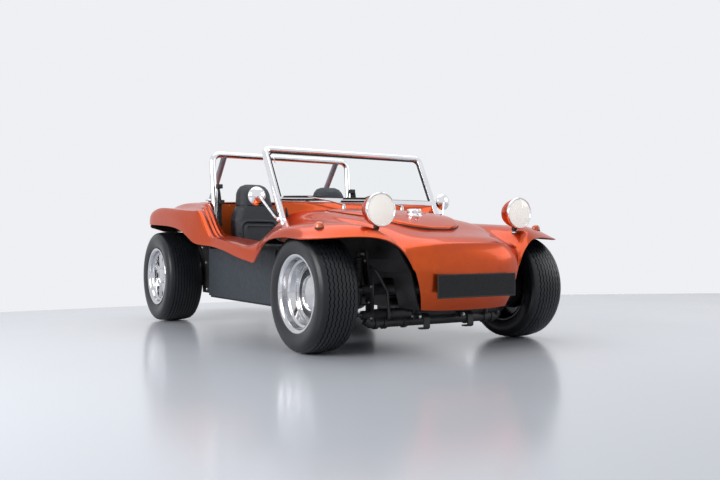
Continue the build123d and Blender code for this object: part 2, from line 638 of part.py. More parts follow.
lamp_shell = [(lamp_depth, 0), (lamp_depth - 5, 38), (lamp_depth - 38, 70), (44, 84), (16, 85),
              (16, lamp_radius), (0, lamp_radius), (0, lamp_radius - 8), (10, lamp_radius - 10),
              (10, 0)]
lamp = spun_y(lamp_shell, -lamp_x, lamp_y, lamp_z)
stalk = rod((-lamp_x, lamp_y + 48, 560), (-lamp_x, lamp_y + 48, lamp_z - 78), 13)
stalk += rod((-lamp_x, lamp_y + 48, 560), (-lamp_x, lamp_y + 48, 636), 26)
stalk = (stalk - front_fender).solids().sort_by(Axis.Z)[-1]
save_pair("headlamp", lamp + stalk)
lens = spun_y([(-8, 0), (-5, 40), (2, lamp_radius - 10 - seam), (10 - seam, lamp_radius - 10 - seam),
               (10 - seam, 0)], -lamp_x, lamp_y, lamp_z)
save_pair("headlamp_lens", lens)

indicators = []
tail_lamps = []
mirrors = []
mirror_x, mirror_y, mirror_z = mirror_at
for side in (-1, 1):
    dome = rod((side * 745, -150, 600), (side * 745, -150, 684), 22)
    fender_here = front_fender if side < 0 else to_left(front_fender)
    indicators.append((dome - fender_here).solids().sort_by(Axis.Z)[-1])
    tail_lamps.append(rod((side * 705, fender_rear_y + seam, 724), (side * 705, fender_rear_y + 38, 724), 30))
    cup = spun_y([(-26, 0), (-20, 30), (-2, mirror_radius - 4), (4, mirror_radius), (8, mirror_radius),
                  (8, 0)], side * mirror_x, mirror_y, mirror_z)
    arm_foot = (side * (post_x + screen_tube + seam), 628, 765)
    stem = rod(arm_foot, (side * mirror_x, mirror_y - 10, mirror_z), 6)
    stem += rod((side * (post_x + screen_tube + seam), 628, 765),
                (side * (post_x + screen_tube + 12), 628, 765), 14)
    mirrors.append(cup + stem - frame)
parts["indicators"] = indicators[0] + indicators[1]
parts["tail_lamps"] = tail_lamps[0] + tail_lamps[1]
parts["mirrors"] = mirrors[0] + mirrors[1]

wipers = []
for pivot_x, tip_x in ((-160, -360), (280, 60)):
    pivot = rod((pivot_x, 596, 760), (pivot_x, 596, 812), 9)
    pivot = (pivot - cowl).solids().sort_by(Axis.Z)[-1]
    tip = on_screen(tip_x, 212, 34)
    wiper = pivot + rod((pivot_x, 596, 808), tip, 4)
    blade = rod(on_screen(tip_x - 150, 206, 30), on_screen(tip_x + 150, 214, 30), 5)
    wipers.append(wiper + blade)
parts["wipers"] = wipers[0] + wipers[1]

plate_half = plate_size[0] / 2
plate = block(-plate_half, plate_half, front_end, front_end + plate_thick,
              plate_z - plate_size[1] / 2, plate_z + plate_size[1] / 2)
mount_pad = block(-150, 150, front_end + plate_thick - 1, -440, plate_z - 30, plate_z + 30) - nose
plate += mount_pad.solids().sort_by(Axis.Y)[0]
parts["number_plate"] = plate

# ---- rear axle, gearbox and engine ----
rear_z = rear_tyre_radius
damper_top = 700.0
axle = rod((-470, torsion_y, 330), (470, torsion_y, 330), 42)
axle += block(-95, 95, torsion_y - 40, wheelbase - 96, 250, 410)
axle += block(-300, 300, bulkhead_y + sheet + seam, torsion_y + 20, floor_z, 300)
axle += rod((0, wheelbase - 96, rear_z), (0, engine_front_y - seam, rear_z), 150)
for side in (-1, 1):
    axle += rod((side * 60, wheelbase, rear_z), (side * 606, wheelbase, rear_z), 40)
    axle += rod((side * 600, wheelbase, rear_z), (side * 612, wheelbase, rear_z), drum_radius)
    axle += rod((side * 600, wheelbase, rear_z), (side * 690, wheelbase, rear_z), spindle_radius)
    low, high = sorted((side * 455, side * 463))
    plate_arm = face_x(low, [(torsion_y - 30, 300), (torsion_y - 30, 360), (wheelbase + 34, 368),
                             (wheelbase + 34, 288)])
    axle += extrude(plate_arm, 8, dir=(1, 0, 0))
    axle += rod((side * 520, wheelbase + 60, rear_z + 10), (side * 510, wheelbase - 40, damper_top), 26)
parts["rear_axle"] = axle

case_half = 150.0
head_x = (268.0, 345.0)       # cylinder heads, from the barrels outwards
cover_x = 376.0               # rocker covers' outer face
barrel_at = (engine_front_y + 78, engine_front_y + 198)
head_y = (engine_front_y + 20, engine_rear_y - 60)
engine = block(-case_half, case_half, engine_front_y, engine_rear_y, crank_z - 110, crank_z + 95)
for side in (-1, 1):
    # barrels with their fins, the tin over them, the finned head and its rocker cover
    for y in barrel_at:
        engine += rod((side * (case_half - 2), y, crank_z), (side * (head_x[0] + 2), y, crank_z), 46)
        for fin in range(8):
            x = case_half + 12 + fin * 14
            engine += rod((side * x, y, crank_z), (side * (x + 4), y, crank_z), 57)
    low, high = sorted((side * (case_half - 2), side * (head_x[0] + 2)))
    engine += block(low, high, *head_y, crank_z + head_top - 10, crank_z + head_top)
    low, high = sorted((side * head_x[0], side * head_x[1]))
    engine += block(low, high, *head_y, crank_z - 60, crank_z + head_top)
    low, high = sorted((side * (head_x[1] - 2), side * cover_x))
    engine += block(low, high, head_y[0] + 8, head_y[1] - 8, crank_z - 48, crank_z + 30)
    # inlet pipe from the carburettor to the head
    engine += bent_bar([(0, barrel_at[0] - 18, crank_z + 150), (side * 200, barrel_at[0] - 18, crank_z + 150),
                        (side * 306, barrel_at[0] + 20, crank_z + head_top - 5)], 16, 40)
# crank pulley, carburettor with its air cleaner, distributor, filler neck
engine += rod((0, engine_rear_y, crank_z), (0, engine_rear_y + 18, crank_z), 84)
engine += rod((0, engine_rear_y, crank_z), (0, engine_rear_y + 30, crank_z), 74)
engine += rod((0, engine_rear_y, crank_z), (0, engine_rear_y + 40, crank_z), 84) - rod(
    (0, engine_rear_y, crank_z), (0, engine_rear_y + 30, crank_z), 85)
carb_y = engine_front_y + 60
engine += rod((0, carb_y, crank_z + 90), (0, carb_y, crank_z + 210), 30)
engine += block(-34, 34, carb_y - 42, carb_y + 42, crank_z + 168, crank_z + 200)
engine += rod((0, carb_y, crank_z + 205), (0, carb_y, crank_z + 270), 85)
engine += rod((0, carb_y, crank_z + 265), (0, carb_y, crank_z + 280), 40)
engine += rod((-112, engine_front_y + 130, crank_z + 90), (-112, engine_front_y + 130, crank_z + 168), 20)
engine += rod((-112, engine_front_y + 130, crank_z + 160), (-112, engine_front_y + 130, crank_z + 205), 31)
engine += rod((118, engine_rear_y - 6, crank_z + 85), (126, engine_rear_y + 8, crank_z + 210), 15)
parts["engine"] = engine
half_shroud = shroud_width / 2
shroud_low = crank_z + head_top + seam
shroud = face_y(shroud_y, [(-half_shroud, shroud_low), (-half_shroud, shroud_top_z - 150),
                           (-half_shroud + 90, shroud_top_z - 30), (-110, shroud_top_z),
                           (110, shroud_top_z), (half_shroud - 90, shroud_top_z - 30),
                           (half_shroud, shroud_top_z - 150), (half_shroud, shroud_low)])
shroud = extrude(shroud, 96, dir=(0, 1, 0)) - block(-151, 151, shroud_y - 1, shroud_y + 100, 300,
                                                    crank_z + 96)
shroud += rod((0, shroud_y + 96, 600), (0, shroud_y + 180, 600), 48)
shroud += rod((0, shroud_y + 180, 600), (0, shroud_y + 200, 600), 58)
parts["fan_shroud"] = shroud

silencer_y = rear_end - silencer_radius
silencer = rod((-300, silencer_y, silencer_z), (300, silencer_y, silencer_z), silencer_radius)
for side in (-1, 1):
    silencer += bent_bar([(side * 325, engine_front_y + 100, crank_z - 60 - seam),
                          (side * 325, engine_front_y + 100, 238),
                          (side * 262, silencer_y - 8, 262)], 19, 32)
    silencer += rod((side * 120, silencer_y + 20, silencer_z - 42),
                    (side * 120, rear_end - 3, silencer_z - 60), 17)
parts["exhaust"] = silencer

for name, shape in parts.items():
    export_step(Pos(0, frame_shift, 0) * shape, "parts/" + name + ".step")
print(len(parts), "parts, shift", frame_shift)
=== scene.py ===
"""Dune buggy: finishes, bodywork, wheels, seats and fittings round its solids.

Lengths are in metres. car(x, y, z) takes x to the car's left, y to its rear from the front axle line, z up.
A face carries the number of its finish, in the order in which its piece names them.
"""

import math

import bmesh
import bpy
import numpy as np
from mathutils import Euler, Matrix, Vector
from mathutils.bvhtree import BVHTree


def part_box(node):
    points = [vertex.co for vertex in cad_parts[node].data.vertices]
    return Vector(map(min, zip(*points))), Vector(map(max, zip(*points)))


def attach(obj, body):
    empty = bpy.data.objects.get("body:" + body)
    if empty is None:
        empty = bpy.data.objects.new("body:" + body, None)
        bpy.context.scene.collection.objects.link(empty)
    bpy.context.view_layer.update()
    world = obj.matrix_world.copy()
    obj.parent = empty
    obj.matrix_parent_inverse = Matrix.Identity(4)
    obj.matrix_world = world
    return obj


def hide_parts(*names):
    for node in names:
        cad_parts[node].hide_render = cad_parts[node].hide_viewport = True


bl_info = {
    "name": "Dune Buggy",
    "version": (1, 0, 0),
    "blender": (4, 5, 0),
    "location": "View3D > Sidebar > Dune Buggy",
    "description": "Builds the finished looks of a dune buggy round its solids",
    "category": "Object",
}

TAU = 2 * math.pi
SIDES = (("right", -1), ("left", 1))
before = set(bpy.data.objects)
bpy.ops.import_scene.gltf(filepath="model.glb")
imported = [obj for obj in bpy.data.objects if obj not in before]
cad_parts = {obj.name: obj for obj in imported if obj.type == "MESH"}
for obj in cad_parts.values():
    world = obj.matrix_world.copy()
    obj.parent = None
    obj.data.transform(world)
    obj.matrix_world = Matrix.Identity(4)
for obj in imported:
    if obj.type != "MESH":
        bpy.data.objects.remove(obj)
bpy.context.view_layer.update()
ORIGIN = Vector()


def middle(node):
    low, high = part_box(node)
    return (low + high) / 2


AXLE_Y = middle("front_tyre_right").y


def vec(x, y, z):
    return Vector((x, y, z))


def car(x, y, z):
    """A point given from the front axle line, in the frame."""
    return vec(x, y + AXLE_Y, z)


def size(name):
    """One of the lengths that the panel offers, rounded to a thousandth of a millimetre."""
    return round(getattr(bpy.context.scene.buggy.sizes, name), 6)


def clamp(value):
    return max(0.0, min(1.0, value))


# ---------------------------------------------------------------- mesh building


class Shape:
    """Points and faces gathered for one mesh, each face with the number of its finish."""

    def __init__(self):
        self.points, self.faces, self.finishes = [], [], []

    def add(self, points, faces, finish=0):
        base = len(self.points)
        self.points.extend(Vector(p) for p in points)
        self.faces.extend(tuple(base + i for i in face) for face in faces)
        self.finishes.extend([finish] * len(faces))

    def grid(self, rows, finish=0, wrap=False, loop=False):
        """A sheet of quads through rows of points; wrap joins a row's ends, loop joins last row to first."""
        wide, deep = len(rows[0]), len(rows)
        faces = []
        for i in range(deep if loop else deep - 1):
            for j in range(wide if wrap else wide - 1):
                k, m = (i + 1) % deep, (j + 1) % wide
                faces.append((i * wide + j, i * wide + m, k * wide + m, k * wide + j))
        self.add([p for row in rows for p in row], faces, finish)

    def lathe(self, profile, centre, axis="X", count=48, finish=0):
        """Turns (along, radius) points about an axis through centre."""
        rows = []
        for along, radius in profile:
            row = []
            for n in range(count):
                a, b = radius * math.cos(n * TAU / count), radius * math.sin(n * TAU / count)
                row.append(centre + Vector({"X": (along, a, b), "Y": (b, along, a), "Z": (a, b, along)}[axis]))
            rows.append(row)
        self.grid(rows, finish, wrap=True)

    def tube(self, path, radius, sides=16, finish=0):
        """A capped bar along a run of points; radius is one number or one for each point."""
        radii = radius if isinstance(radius, list) else [radius] * len(path)
        rows, across = [], None
        for n, point in enumerate(path):
            way = way_at(path, n)
            if across is None:
                across = way.orthogonal().normalized()
            across = (across - way * across.dot(way)).normalized()
            other = way.cross(across)
            rows.append([point + (across * math.cos(a) + other * math.sin(a)) * radii[n]
                         for a in (k * TAU / sides for k in range(sides))])
        self.grid(rows, finish, wrap=True)
        first, end = len(self.points) - sides * len(path), len(self.points)
        self.faces += [tuple(range(first, first + sides))[::-1], tuple(range(end - sides, end))]
        self.finishes += [finish] * 2

    def block(self, low, high, finish=0, turn=None):
        """A box between two corners, turned about its centre if a rotation is given."""
        centre = (low + high) / 2
        corners = [vec(x, y, z) for z in (low.z, high.z) for y in (low.y, high.y) for x in (low.x, high.x)]
        if turn is not None:
            corners = [centre + turn @ (c - centre) for c in corners]
        faces = [(0, 2, 3, 1), (4, 5, 7, 6), (0, 1, 5, 4), (2, 6, 7, 3), (0, 4, 6, 2), (1, 3, 7, 5)]
        self.add(corners, faces, finish)

    def prism(self, outline, way):
        """A closed outline of points pushed along a vector."""
        count = len(outline)
        outline = [Vector(p) for p in outline]
        faces = [tuple(range(count))[::-1], tuple(range(count, 2 * count))]
        faces += [(i, (i + 1) % count, count + (i + 1) % count, count + i) for i in range(count)]
        self.add(outline + [p + way for p in outline], faces)

    def both_sides(self):
        """Adds the mirror image across the car's middle."""
        count = len(self.points)
        self.points += [vec(-p.x, p.y, p.z) for p in self.points]
        self.faces += [tuple(count + i for i in face[::-1]) for face in self.faces]
        self.finishes *= 2

    def mesh(self, name, weld=0.0, smooth=True, angle=40):
        data = bpy.data.meshes.new(name)
        data.from_pydata([tuple(p) for p in self.points], [], self.faces)
        data.polygons.foreach_set("material_index", self.finishes)
        data.update()
        work = bmesh.new()
        work.from_mesh(data)
        if weld:
            bmesh.ops.remove_doubles(work, verts=work.verts, dist=weld)
        bmesh.ops.recalc_face_normals(work, faces=work.faces)
        work.to_mesh(data)
        work.free()
        if smooth:
            shade(data, angle)
        return data


def way_at(path, n):
    """The direction of a run of points at its nth one."""
    return (path[min(n + 1, len(path) - 1)] - path[max(n - 1, 0)]).normalized()


def rounded(points, radii, steps=6):
    """The run of points with its corners turned into arcs."""
    if not isinstance(radii, list):
        radii = [radii] * (len(points) - 2)
    path = [points[0]]
    for before, corner, after, r in zip(points, points[1:], points[2:], radii):
        back, on = (before - corner).normalized(), (after - corner).normalized()
        half = back.angle(on) / 2
        centre = corner + (back + on).normalized() * (r / math.sin(half))
        start = corner + back * (r / math.tan(half)) - centre
        end = corner + on * (r / math.tan(half)) - centre
        path += [centre + start.slerp(end, n / steps).normalized() * r for n in range(steps + 1)]
    return path + [points[-1]]


def shade(data, angle):
    """Smooth shading, with edges sharper than the angle kept."""
    data.shade_smooth()
    data.set_sharp_from_angle(angle=math.radians(angle))


def linked(name, data):
    obj = bpy.data.objects.new(name, data)
    bpy.context.scene.collection.objects.link(obj)
    return obj


def modify(obj, kind, **settings):
    made = obj.modifiers.new(kind.lower(), kind)
    for key, value in settings.items():
        setattr(made, key, value)
    return made


def evaluated(obj, angle=None):
    """Turns the object's modifiers into plain mesh, shaded by the angle if one is given."""
    bpy.context.view_layer.update()
    shape = bpy.data.meshes.new_from_object(obj.evaluated_get(bpy.context.evaluated_depsgraph_get()))
    obj.modifiers.clear()
    obj.data = shape
    if angle:
        shade(shape, angle)


def bevelled(obj, width, segments, angle=40):
    modify(obj, "BEVEL", width=width, segments=segments, limit_method="ANGLE")
    evaluated(obj, angle)


def piece(data, finishes, slot=None, *nodes, body="root"):
    """Links a mesh as a finished piece that stands for some nodes; finishes are names with spaces between."""
    obj = linked(data.name, data)
    for name in finishes.split():
        data.materials.append(FINISHES[name])
    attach(obj, body)
    if nodes:
        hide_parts(*nodes)
    return obj


# ---------------------------------------------------------------- finishes


GROUPS, FINISHES = {}, {}


class Nodes:
    """Adds nodes to one tree and joins them: an input is a constant or another node's output."""

    def __init__(self, tree):
        self.tree = tree
        tree.nodes.clear()

    def __call__(self, kind, inputs=(), **settings):
        made = self.tree.nodes.new(kind)
        for key, value in settings.items():
            setattr(made, key, value)
        for name, value in dict(inputs).items():
            if isinstance(value, bpy.types.NodeSocket):
                self.tree.links.new(value, made.inputs[name])
            else:
                made.inputs[name].default_value = value
        return made

    def math(self, operation, *values):
        return self("ShaderNodeMath", enumerate(values), operation=operation).outputs[0]

    def vector_math(self, operation, inputs):
        return self("ShaderNodeVectorMath", inputs, operation=operation).outputs[0]

    def noise(self, place, scale, detail, **inputs):
        return self("ShaderNodeTexNoise", {"Vector": place, "Scale": scale, "Detail": detail, **inputs}).outputs[0]

    def between(self, value, low, high):
        return self("ShaderNodeMapRange", {"Value": value, "To Min": low, "To Max": high}).outputs[0]


def node_tree(name, kind, inputs, outputs):
    """A node group's tree, its Nodes and its input sockets; an input is a label, a kind and a value or None."""
    tree = bpy.data.node_groups.new(name, kind)
    for label, socket_kind, value in inputs:
        socket = tree.interface.new_socket(label, in_out="INPUT", socket_type="NodeSocket" + socket_kind)
        if value is not None:
            socket.default_value = value
    for label, socket_kind in outputs:
        tree.interface.new_socket(label, in_out="OUTPUT", socket_type="NodeSocket" + socket_kind)
    nodes = Nodes(tree)
    return tree, nodes, nodes("NodeGroupInput").outputs


def build_patchy(nodes, entry):
    """Broad soft patches broken by fine specks, from 0 to 1."""
    broad = nodes.noise(entry["Place"], entry["Scale"], 6.0, Roughness=0.6)
    fine = nodes.noise(entry["Place"], nodes.math("MULTIPLY", entry["Scale"], 14.0), 3.0)
    mixed = nodes.math("MULTIPLY", broad, fine)
    mask = nodes("ShaderNodeMapRange", {"Value": mixed, "From Min": 0.12, "From Max": 0.42})
    return {"Mask": mask.outputs[0]}


def build_pebbled(nodes, entry):
    """Pebbled grain of pressed vinyl with shallow creases; a height from 0 to 1."""
    cells = nodes("ShaderNodeTexVoronoi", {"Vector": entry["Place"], "Scale": entry["Scale"]},
                  feature="DISTANCE_TO_EDGE")
    pebble = nodes("ShaderNodeMapRange", {"Value": cells.outputs["Distance"], "From Max": 0.35},
                   interpolation_type="SMOOTHSTEP")
    creases = nodes.noise(entry["Place"], nodes.math("MULTIPLY", entry["Scale"], 0.05), 4.0, Distortion=0.6)
    return {"Height": nodes.math("MULTIPLY_ADD", creases, 1.6, pebble.outputs[0])}


def build_woven(nodes, entry):
    """Ribbed webbing: rows across the strap crossed by threads; a height from 0 to 1."""
    waves = [nodes("ShaderNodeTexWave", {"Vector": entry["Place"], "Scale": entry["Scale"], "Distortion": 0.4},
                   bands_direction=way).outputs["Fac"] for way in "ZX"]
    return {"Height": nodes.math("ADD", *waves)}


def build_flakes(nodes, entry):
    """Metal flakes, each tipped a little its own way: a normal."""
    cells = nodes("ShaderNodeTexVoronoi", {"Vector": entry["Place"], "Scale": entry["Scale"]}).outputs["Color"]
    tip = nodes.vector_math("SUBTRACT", {0: cells, 1: (0.5, 0.5, 0.5)})
    scaled = nodes.vector_math("SCALE", {0: tip, "Scale": entry["Tip"]})
    facing = nodes("ShaderNodeNewGeometry").outputs["Normal"]
    turned = nodes.vector_math("ADD", {0: facing, 1: scaled})
    return {"Normal": nodes.vector_math("NORMALIZE", {0: turned})}


def make_groups():
    """The shader groups; each takes a place and a scale and gives masks, heights or normals."""
    for name, build, inputs, outputs in (
            ("patchy", build_patchy, [("Scale", "Float", 4.0)], [("Mask", "Float")]),
            ("pebbled", build_pebbled, [("Scale", "Float", 500.0)], [("Height", "Float")]),
            ("woven", build_woven, [("Scale", "Float", 300.0)], [("Height", "Float")]),
            ("flakes", build_flakes, [("Scale", "Float", 1500.0), ("Tip", "Float", 0.1)], [("Normal", "Vector")])):
        inputs = [("Place", "Vector", None)] + inputs
        tree, nodes, entry = node_tree(name.capitalize(), "ShaderNodeTree", inputs, outputs)
        nodes("NodeGroupOutput", build(nodes, entry))
        GROUPS[name] = tree


def relief(grain, scale, depth):
    """A finish's relief: its group or plain noise, its scale, and its depth in metres."""
    return {"grain": grain, "grain_scale": scale, "depth": depth}


FLAKES = {**relief("flakes", 2600.0, 0.05), "patch": 1.5}
# Name, light and dark colour, smoothest and roughest, and what else the finish has.
FINISH_TABLE = [
    ("copper_orange", (0.61, 0.084, 0.007), (0.53, 0.068, 0.006), 0.27, 0.33,
     {**FLAKES, "metal": 0.80, "edge": (0.42, 0.040, 0.020), "Specular IOR Level": 0.1,
      "Specular Tint": (1.0, 0.62, 0.55, 1), "Coat Weight": 0.42, "Coat Roughness": 0.015}),
    # Painted light: the wall behind the seats takes a lighter, less metallic copy of the body's paint, for the studio
    # light it catches.
    ("inner_orange", (0.70, 0.125, 0.016), (0.62, 0.105, 0.014), 0.35, 0.45, {**FLAKES, "metal": 0.1}),
    ("under_black", (0.012, 0.012, 0.013), (0.022, 0.021, 0.02), 0.55, 0.85, relief("noise", 900.0, 0.0006)),
    ("chrome", (0.86, 0.86, 0.87), (0.78, 0.78, 0.80), 0.045, 0.11, {"metal": 1.0, "patch": 7.0}),
    ("brace_steel", (0.30, 0.32, 0.37), (0.22, 0.24, 0.29), 0.34, 0.46, {"metal": 0.35, "patch": 7.0}),
    # Painted reflection: the wheels' chrome is darker than the other chrome, for the dark it reflects; the steering
    # wheel's hub shares it.
    ("wheel_chrome", (0.66, 0.66, 0.67), (0.54, 0.54, 0.56), 0.06, 0.15, {"metal": 1.0, "patch": 12.0}),
    # Painted shade and reflection: the rims' chrome inside the wheel and between barrel and cap, darkened for the dark
    # it reflects.
    ("barrel_dark", (0.10, 0.10, 0.105), (0.05, 0.05, 0.052), 0.22, 0.4, {"metal": 1.0, "patch": 10.0}),
    ("tyre_rubber", (0.0075, 0.0084, 0.0108), (0.0110, 0.0120, 0.0150), 0.30, 0.46,
     {**relief("noise", 1400.0, 0.00015), "patch": 6.0, "Specular IOR Level": 0.42}),
    ("black_steel", (0.016, 0.016, 0.017), (0.03, 0.03, 0.031), 0.32, 0.55,
     {**relief("noise", 700.0, 0.0004), "patch": 9.0}),
    ("panel_slate", (0.028, 0.036, 0.047), (0.023, 0.030, 0.040), 0.42, 0.52,
     {**relief("noise", 1100.0, 0.0003), "patch": 2.5, "Specular IOR Level": 0.3}),
    ("black_trim", (0.014, 0.014, 0.015), (0.024, 0.024, 0.024), 0.45, 0.65,
     relief("noise", 1500.0, 0.0004)),
    ("seat_vinyl", (0.0075, 0.0105, 0.0170), (0.011, 0.0155, 0.024), 0.36, 0.48,
     {**relief("pebbled", 620.0, 0.0004), "patch": 4.0}),
    ("webbing", (0.016, 0.016, 0.018), (0.028, 0.028, 0.030), 0.65, 0.8,
     relief("woven", 160.0, 0.0008)),
    # The lens glows faintly: a painted glow that stands in for the bright look of the unlit lens.
    ("lamp_glass", (0.97, 0.94, 0.90), (0.94, 0.91, 0.86), 0.05, 0.12,
     {"patch": 30.0, "Transmission Weight": 0.1, "IOR": 1.45, "Coat Weight": 1.0,
      "Emission Color": (1.0, 0.93, 0.84, 1), "Emission Strength": 0.27}),
    ("screen_glass", (0.97, 0.985, 0.98), (0.95, 0.975, 0.97), 0.0, 0.015,
     {"patch": 3.0, "Transmission Weight": 1.0, "IOR": 1.02}),
    ("amber", (0.86, 0.155, 0.012), (0.74, 0.115, 0.010), 0.10, 0.20,
     {**relief("noise", 300.0, 0.0006), "Coat Weight": 0.8}),
    ("red_lens", (0.45, 0.010, 0.008), (0.33, 0.007, 0.006), 0.10, 0.22,
     {**relief("noise", 300.0, 0.0006), "Coat Weight": 0.8}),
    ("rubber_black", (0.012, 0.012, 0.013), (0.024, 0.024, 0.024), 0.5, 0.75,
     relief("noise", 1200.0, 0.0003)),
    ("plate_black", (0.007, 0.007, 0.008), (0.011, 0.011, 0.012), 0.24, 0.34,
     {"patch": 3.0, "Specular IOR Level": 0.3}),
    ("plate_rim", (0.030, 0.030, 0.033), (0.020, 0.020, 0.022), 0.3, 0.45, {"metal": 0.3}),
    ("cast_alloy", (0.42, 0.42, 0.42), (0.26, 0.26, 0.265), 0.38, 0.62,
     {"metal": 0.9, **relief("noise", 650.0, 0.0007), "patch": 11.0}),
    ("black_tin", (0.013, 0.013, 0.014), (0.022, 0.022, 0.022), 0.22, 0.38, {"patch": 8.0}),
    ("exhaust_steel", (0.50, 0.47, 0.43), (0.30, 0.26, 0.22), 0.25, 0.5, {"metal": 1.0, "patch": 9.0}),
    ("zinc", (0.60, 0.60, 0.60), (0.42, 0.42, 0.43), 0.22, 0.40, {"metal": 1.0, "patch": 20.0}),
    ("mirror_glass", (0.90, 0.90, 0.91), (0.86, 0.86, 0.87), 0.01, 0.03, {"metal": 1.0}),
    ("lamp_bulb", (0.95, 0.95, 0.95), (0.85, 0.85, 0.85), 0.10, 0.20, {"metal": 0.6, "patch": 30.0}),
    ("dial_face", (0.010, 0.010, 0.011), (0.016, 0.016, 0.017), 0.25, 0.35, {}),
    ("floor_mat", (0.018, 0.018, 0.019), (0.030, 0.030, 0.030), 0.7, 0.9, relief("noise", 900.0, 0.0010)),
]


def make_finish(name, light, dark, smooth, rough, metal=0.0, grain=None, grain_scale=400.0, depth=0.0, patch=5.0,
                edge=None, **sockets):
    """A Principled material whose colour and roughness wander between two values in patches.

    grain names the group that gives its relief, depth is that relief in metres (for flakes, how far they tip),
    edge is the colour seen at a glancing angle, and sockets are further constants of the shader.
    """
    made = bpy.data.materials.new(name)
    made.use_nodes = True
    nodes = Nodes(made.node_tree)
    place = nodes("ShaderNodeTexCoord").outputs["Object"]
    mask = nodes("ShaderNodeGroup", node_tree=GROUPS["patchy"])
    made.node_tree.links.new(place, mask.inputs["Place"])
    mask.inputs["Scale"].default_value = patch
    hue = nodes("ShaderNodeMix", data_type="RGBA")
    made.node_tree.links.new(mask.outputs[0], hue.inputs[0])
    hue.inputs[6].default_value, hue.inputs[7].default_value = (*light, 1), (*dark, 1)
    if edge is not None:
        glance = nodes("ShaderNodeLayerWeight", {"Blend": 0.35})
        over = nodes("ShaderNodeMix", data_type="RGBA")
        made.node_tree.links.new(glance.outputs["Facing"], over.inputs[0])
        made.node_tree.links.new(hue.outputs[2], over.inputs[6])
        over.inputs[7].default_value = (*edge, 1)
        hue = over
    shader = nodes("ShaderNodeBsdfPrincipled", {
        "Base Color": hue.outputs[2], "Metallic": metal, "Roughness": nodes.between(mask.outputs[0], smooth, rough),
        **sockets})
    if grain in GROUPS:
        inner = nodes("ShaderNodeGroup", node_tree=GROUPS[grain])
        made.node_tree.links.new(place, inner.inputs["Place"])
        inner.inputs["Scale"].default_value = grain_scale
        surface = inner.outputs[0]
    elif grain:
        surface = nodes.noise(place, grain_scale, 5.0)
    if grain == "flakes":
        inner.inputs["Tip"].default_value = depth
    elif grain:
        surface = nodes("ShaderNodeBump", {"Height": surface, "Distance": depth, "Strength": 1.0}).outputs[0]
    if grain:
        made.node_tree.links.new(surface, shader.inputs["Normal"])
    nodes("ShaderNodeOutputMaterial", {"Surface": shader.outputs[0]}).is_active_output = True
    FINISHES[name] = made


def make_finishes():
    make_groups()
    colours = bpy.context.scene.buggy.colours
    for name, light, dark, *row, more in FINISH_TABLE:
        light = tuple(getattr(colours, name, light))
        dark = tuple(getattr(colours, name + "_dark", dark))
        make_finish(name, light, dark, *row, **more)


# ---------------------------------------------------------------- the stage


CAMERA_AT = (-2.7197, -4.8829, 0.5820)
CAMERA_TURN = (90.13, 0.0, -31.743)
LENS, SENSOR = 40.3, 36.0
# The floor's far edge, which curves round behind the car, and its near corners.
FLOOR_EDGE = [(-14, -12), (9, -12), (9.0, -0.8), (2.3, 2.20), (0.9, 2.46), (-3.1, 2.30), (-14.0, 1.3)]
FLOOR_THICK = 0.05
# Name, place, size and power of each light; all of them point at LIGHT_AIM.
LIGHTS = [("key", (-5.2, -1.6, 2.5), (4.0, 2.4), 190), ("overhead", (0.5, 0.5, 4.5), (5.0, 5.0), 105),
          ("fill", (4.5, -3.0, 2.5), (3.0, 2.0), 32)]
LIGHT_AIM = (0, 0, 0.4)


def area_light(name, at, size, power):
    light = bpy.data.lights.new(name, "AREA")
    light.shape, light.size, light.size_y = "RECTANGLE", *size
    light.energy = power
    obj = linked(name, light)
    obj.location = at
    obj.rotation_euler = (Vector(LIGHT_AIM) - Vector(at)).to_track_quat("-Z", "Y").to_euler()


def build_stage():
    scene = bpy.context.scene
    lens = bpy.data.cameras.new("camera")
    lens.lens, lens.sensor_width, lens.sensor_fit = LENS, SENSOR, "HORIZONTAL"
    scene.camera = linked("camera", lens)
    scene.camera.location = CAMERA_AT
    scene.camera.rotation_euler = Euler([math.radians(a) for a in CAMERA_TURN])

    shape = Shape()
    shape.prism([(x, y, -FLOOR_THICK) for x, y in FLOOR_EDGE], vec(0, 0, FLOOR_THICK))
    floor = linked("floor", shape.mesh("floor", smooth=False))
    polished = bpy.data.materials.new("polished_floor")
    polished.use_nodes = True
    nodes = Nodes(polished.node_tree)
    patches = nodes.noise(nodes("ShaderNodeTexCoord").outputs["Object"], 1.3, 4.0)
    shader = nodes("ShaderNodeBsdfPrincipled", {"Base Color": (0.68, 0.705, 0.755, 1),
                                                "Roughness": nodes.between(patches, 0.13, 0.22),
                                                "Specular IOR Level": 0.38})
    nodes("ShaderNodeOutputMaterial", {"Surface": shader.outputs[0]})
    floor.data.materials.append(polished)

    # a bright studio for the eye and for reflections, a dimmer one for the light it sheds
    world = bpy.data.worlds.new("studio")
    scene.world = world
    world.use_nodes = True
    nodes = Nodes(world.node_tree)
    rays = nodes("ShaderNodeLightPath").outputs
    dim = nodes("ShaderNodeBackground", {"Color": (0.90, 0.93, 1.0, 1), "Strength": 0.36})
    bright = nodes("ShaderNodeBackground", {"Color": (0.86, 0.87, 0.90, 1), "Strength": 1.0})
    direct = nodes.math("MAXIMUM", rays["Is Camera Ray"], rays["Is Glossy Ray"])
    shown = nodes.math("MAXIMUM", direct, rays["Is Transmission Ray"])
    seen = nodes("ShaderNodeMixShader", {0: shown, 1: dim.outputs[0], 2: bright.outputs[0]})
    nodes("ShaderNodeOutputWorld", {"Surface": seen.outputs[0]})
    for light in LIGHTS:
        area_light(*light)
    scene.view_settings.view_transform = "Standard"


# ---------------------------------------------------------------- repeats


COPIES_SEED = 7


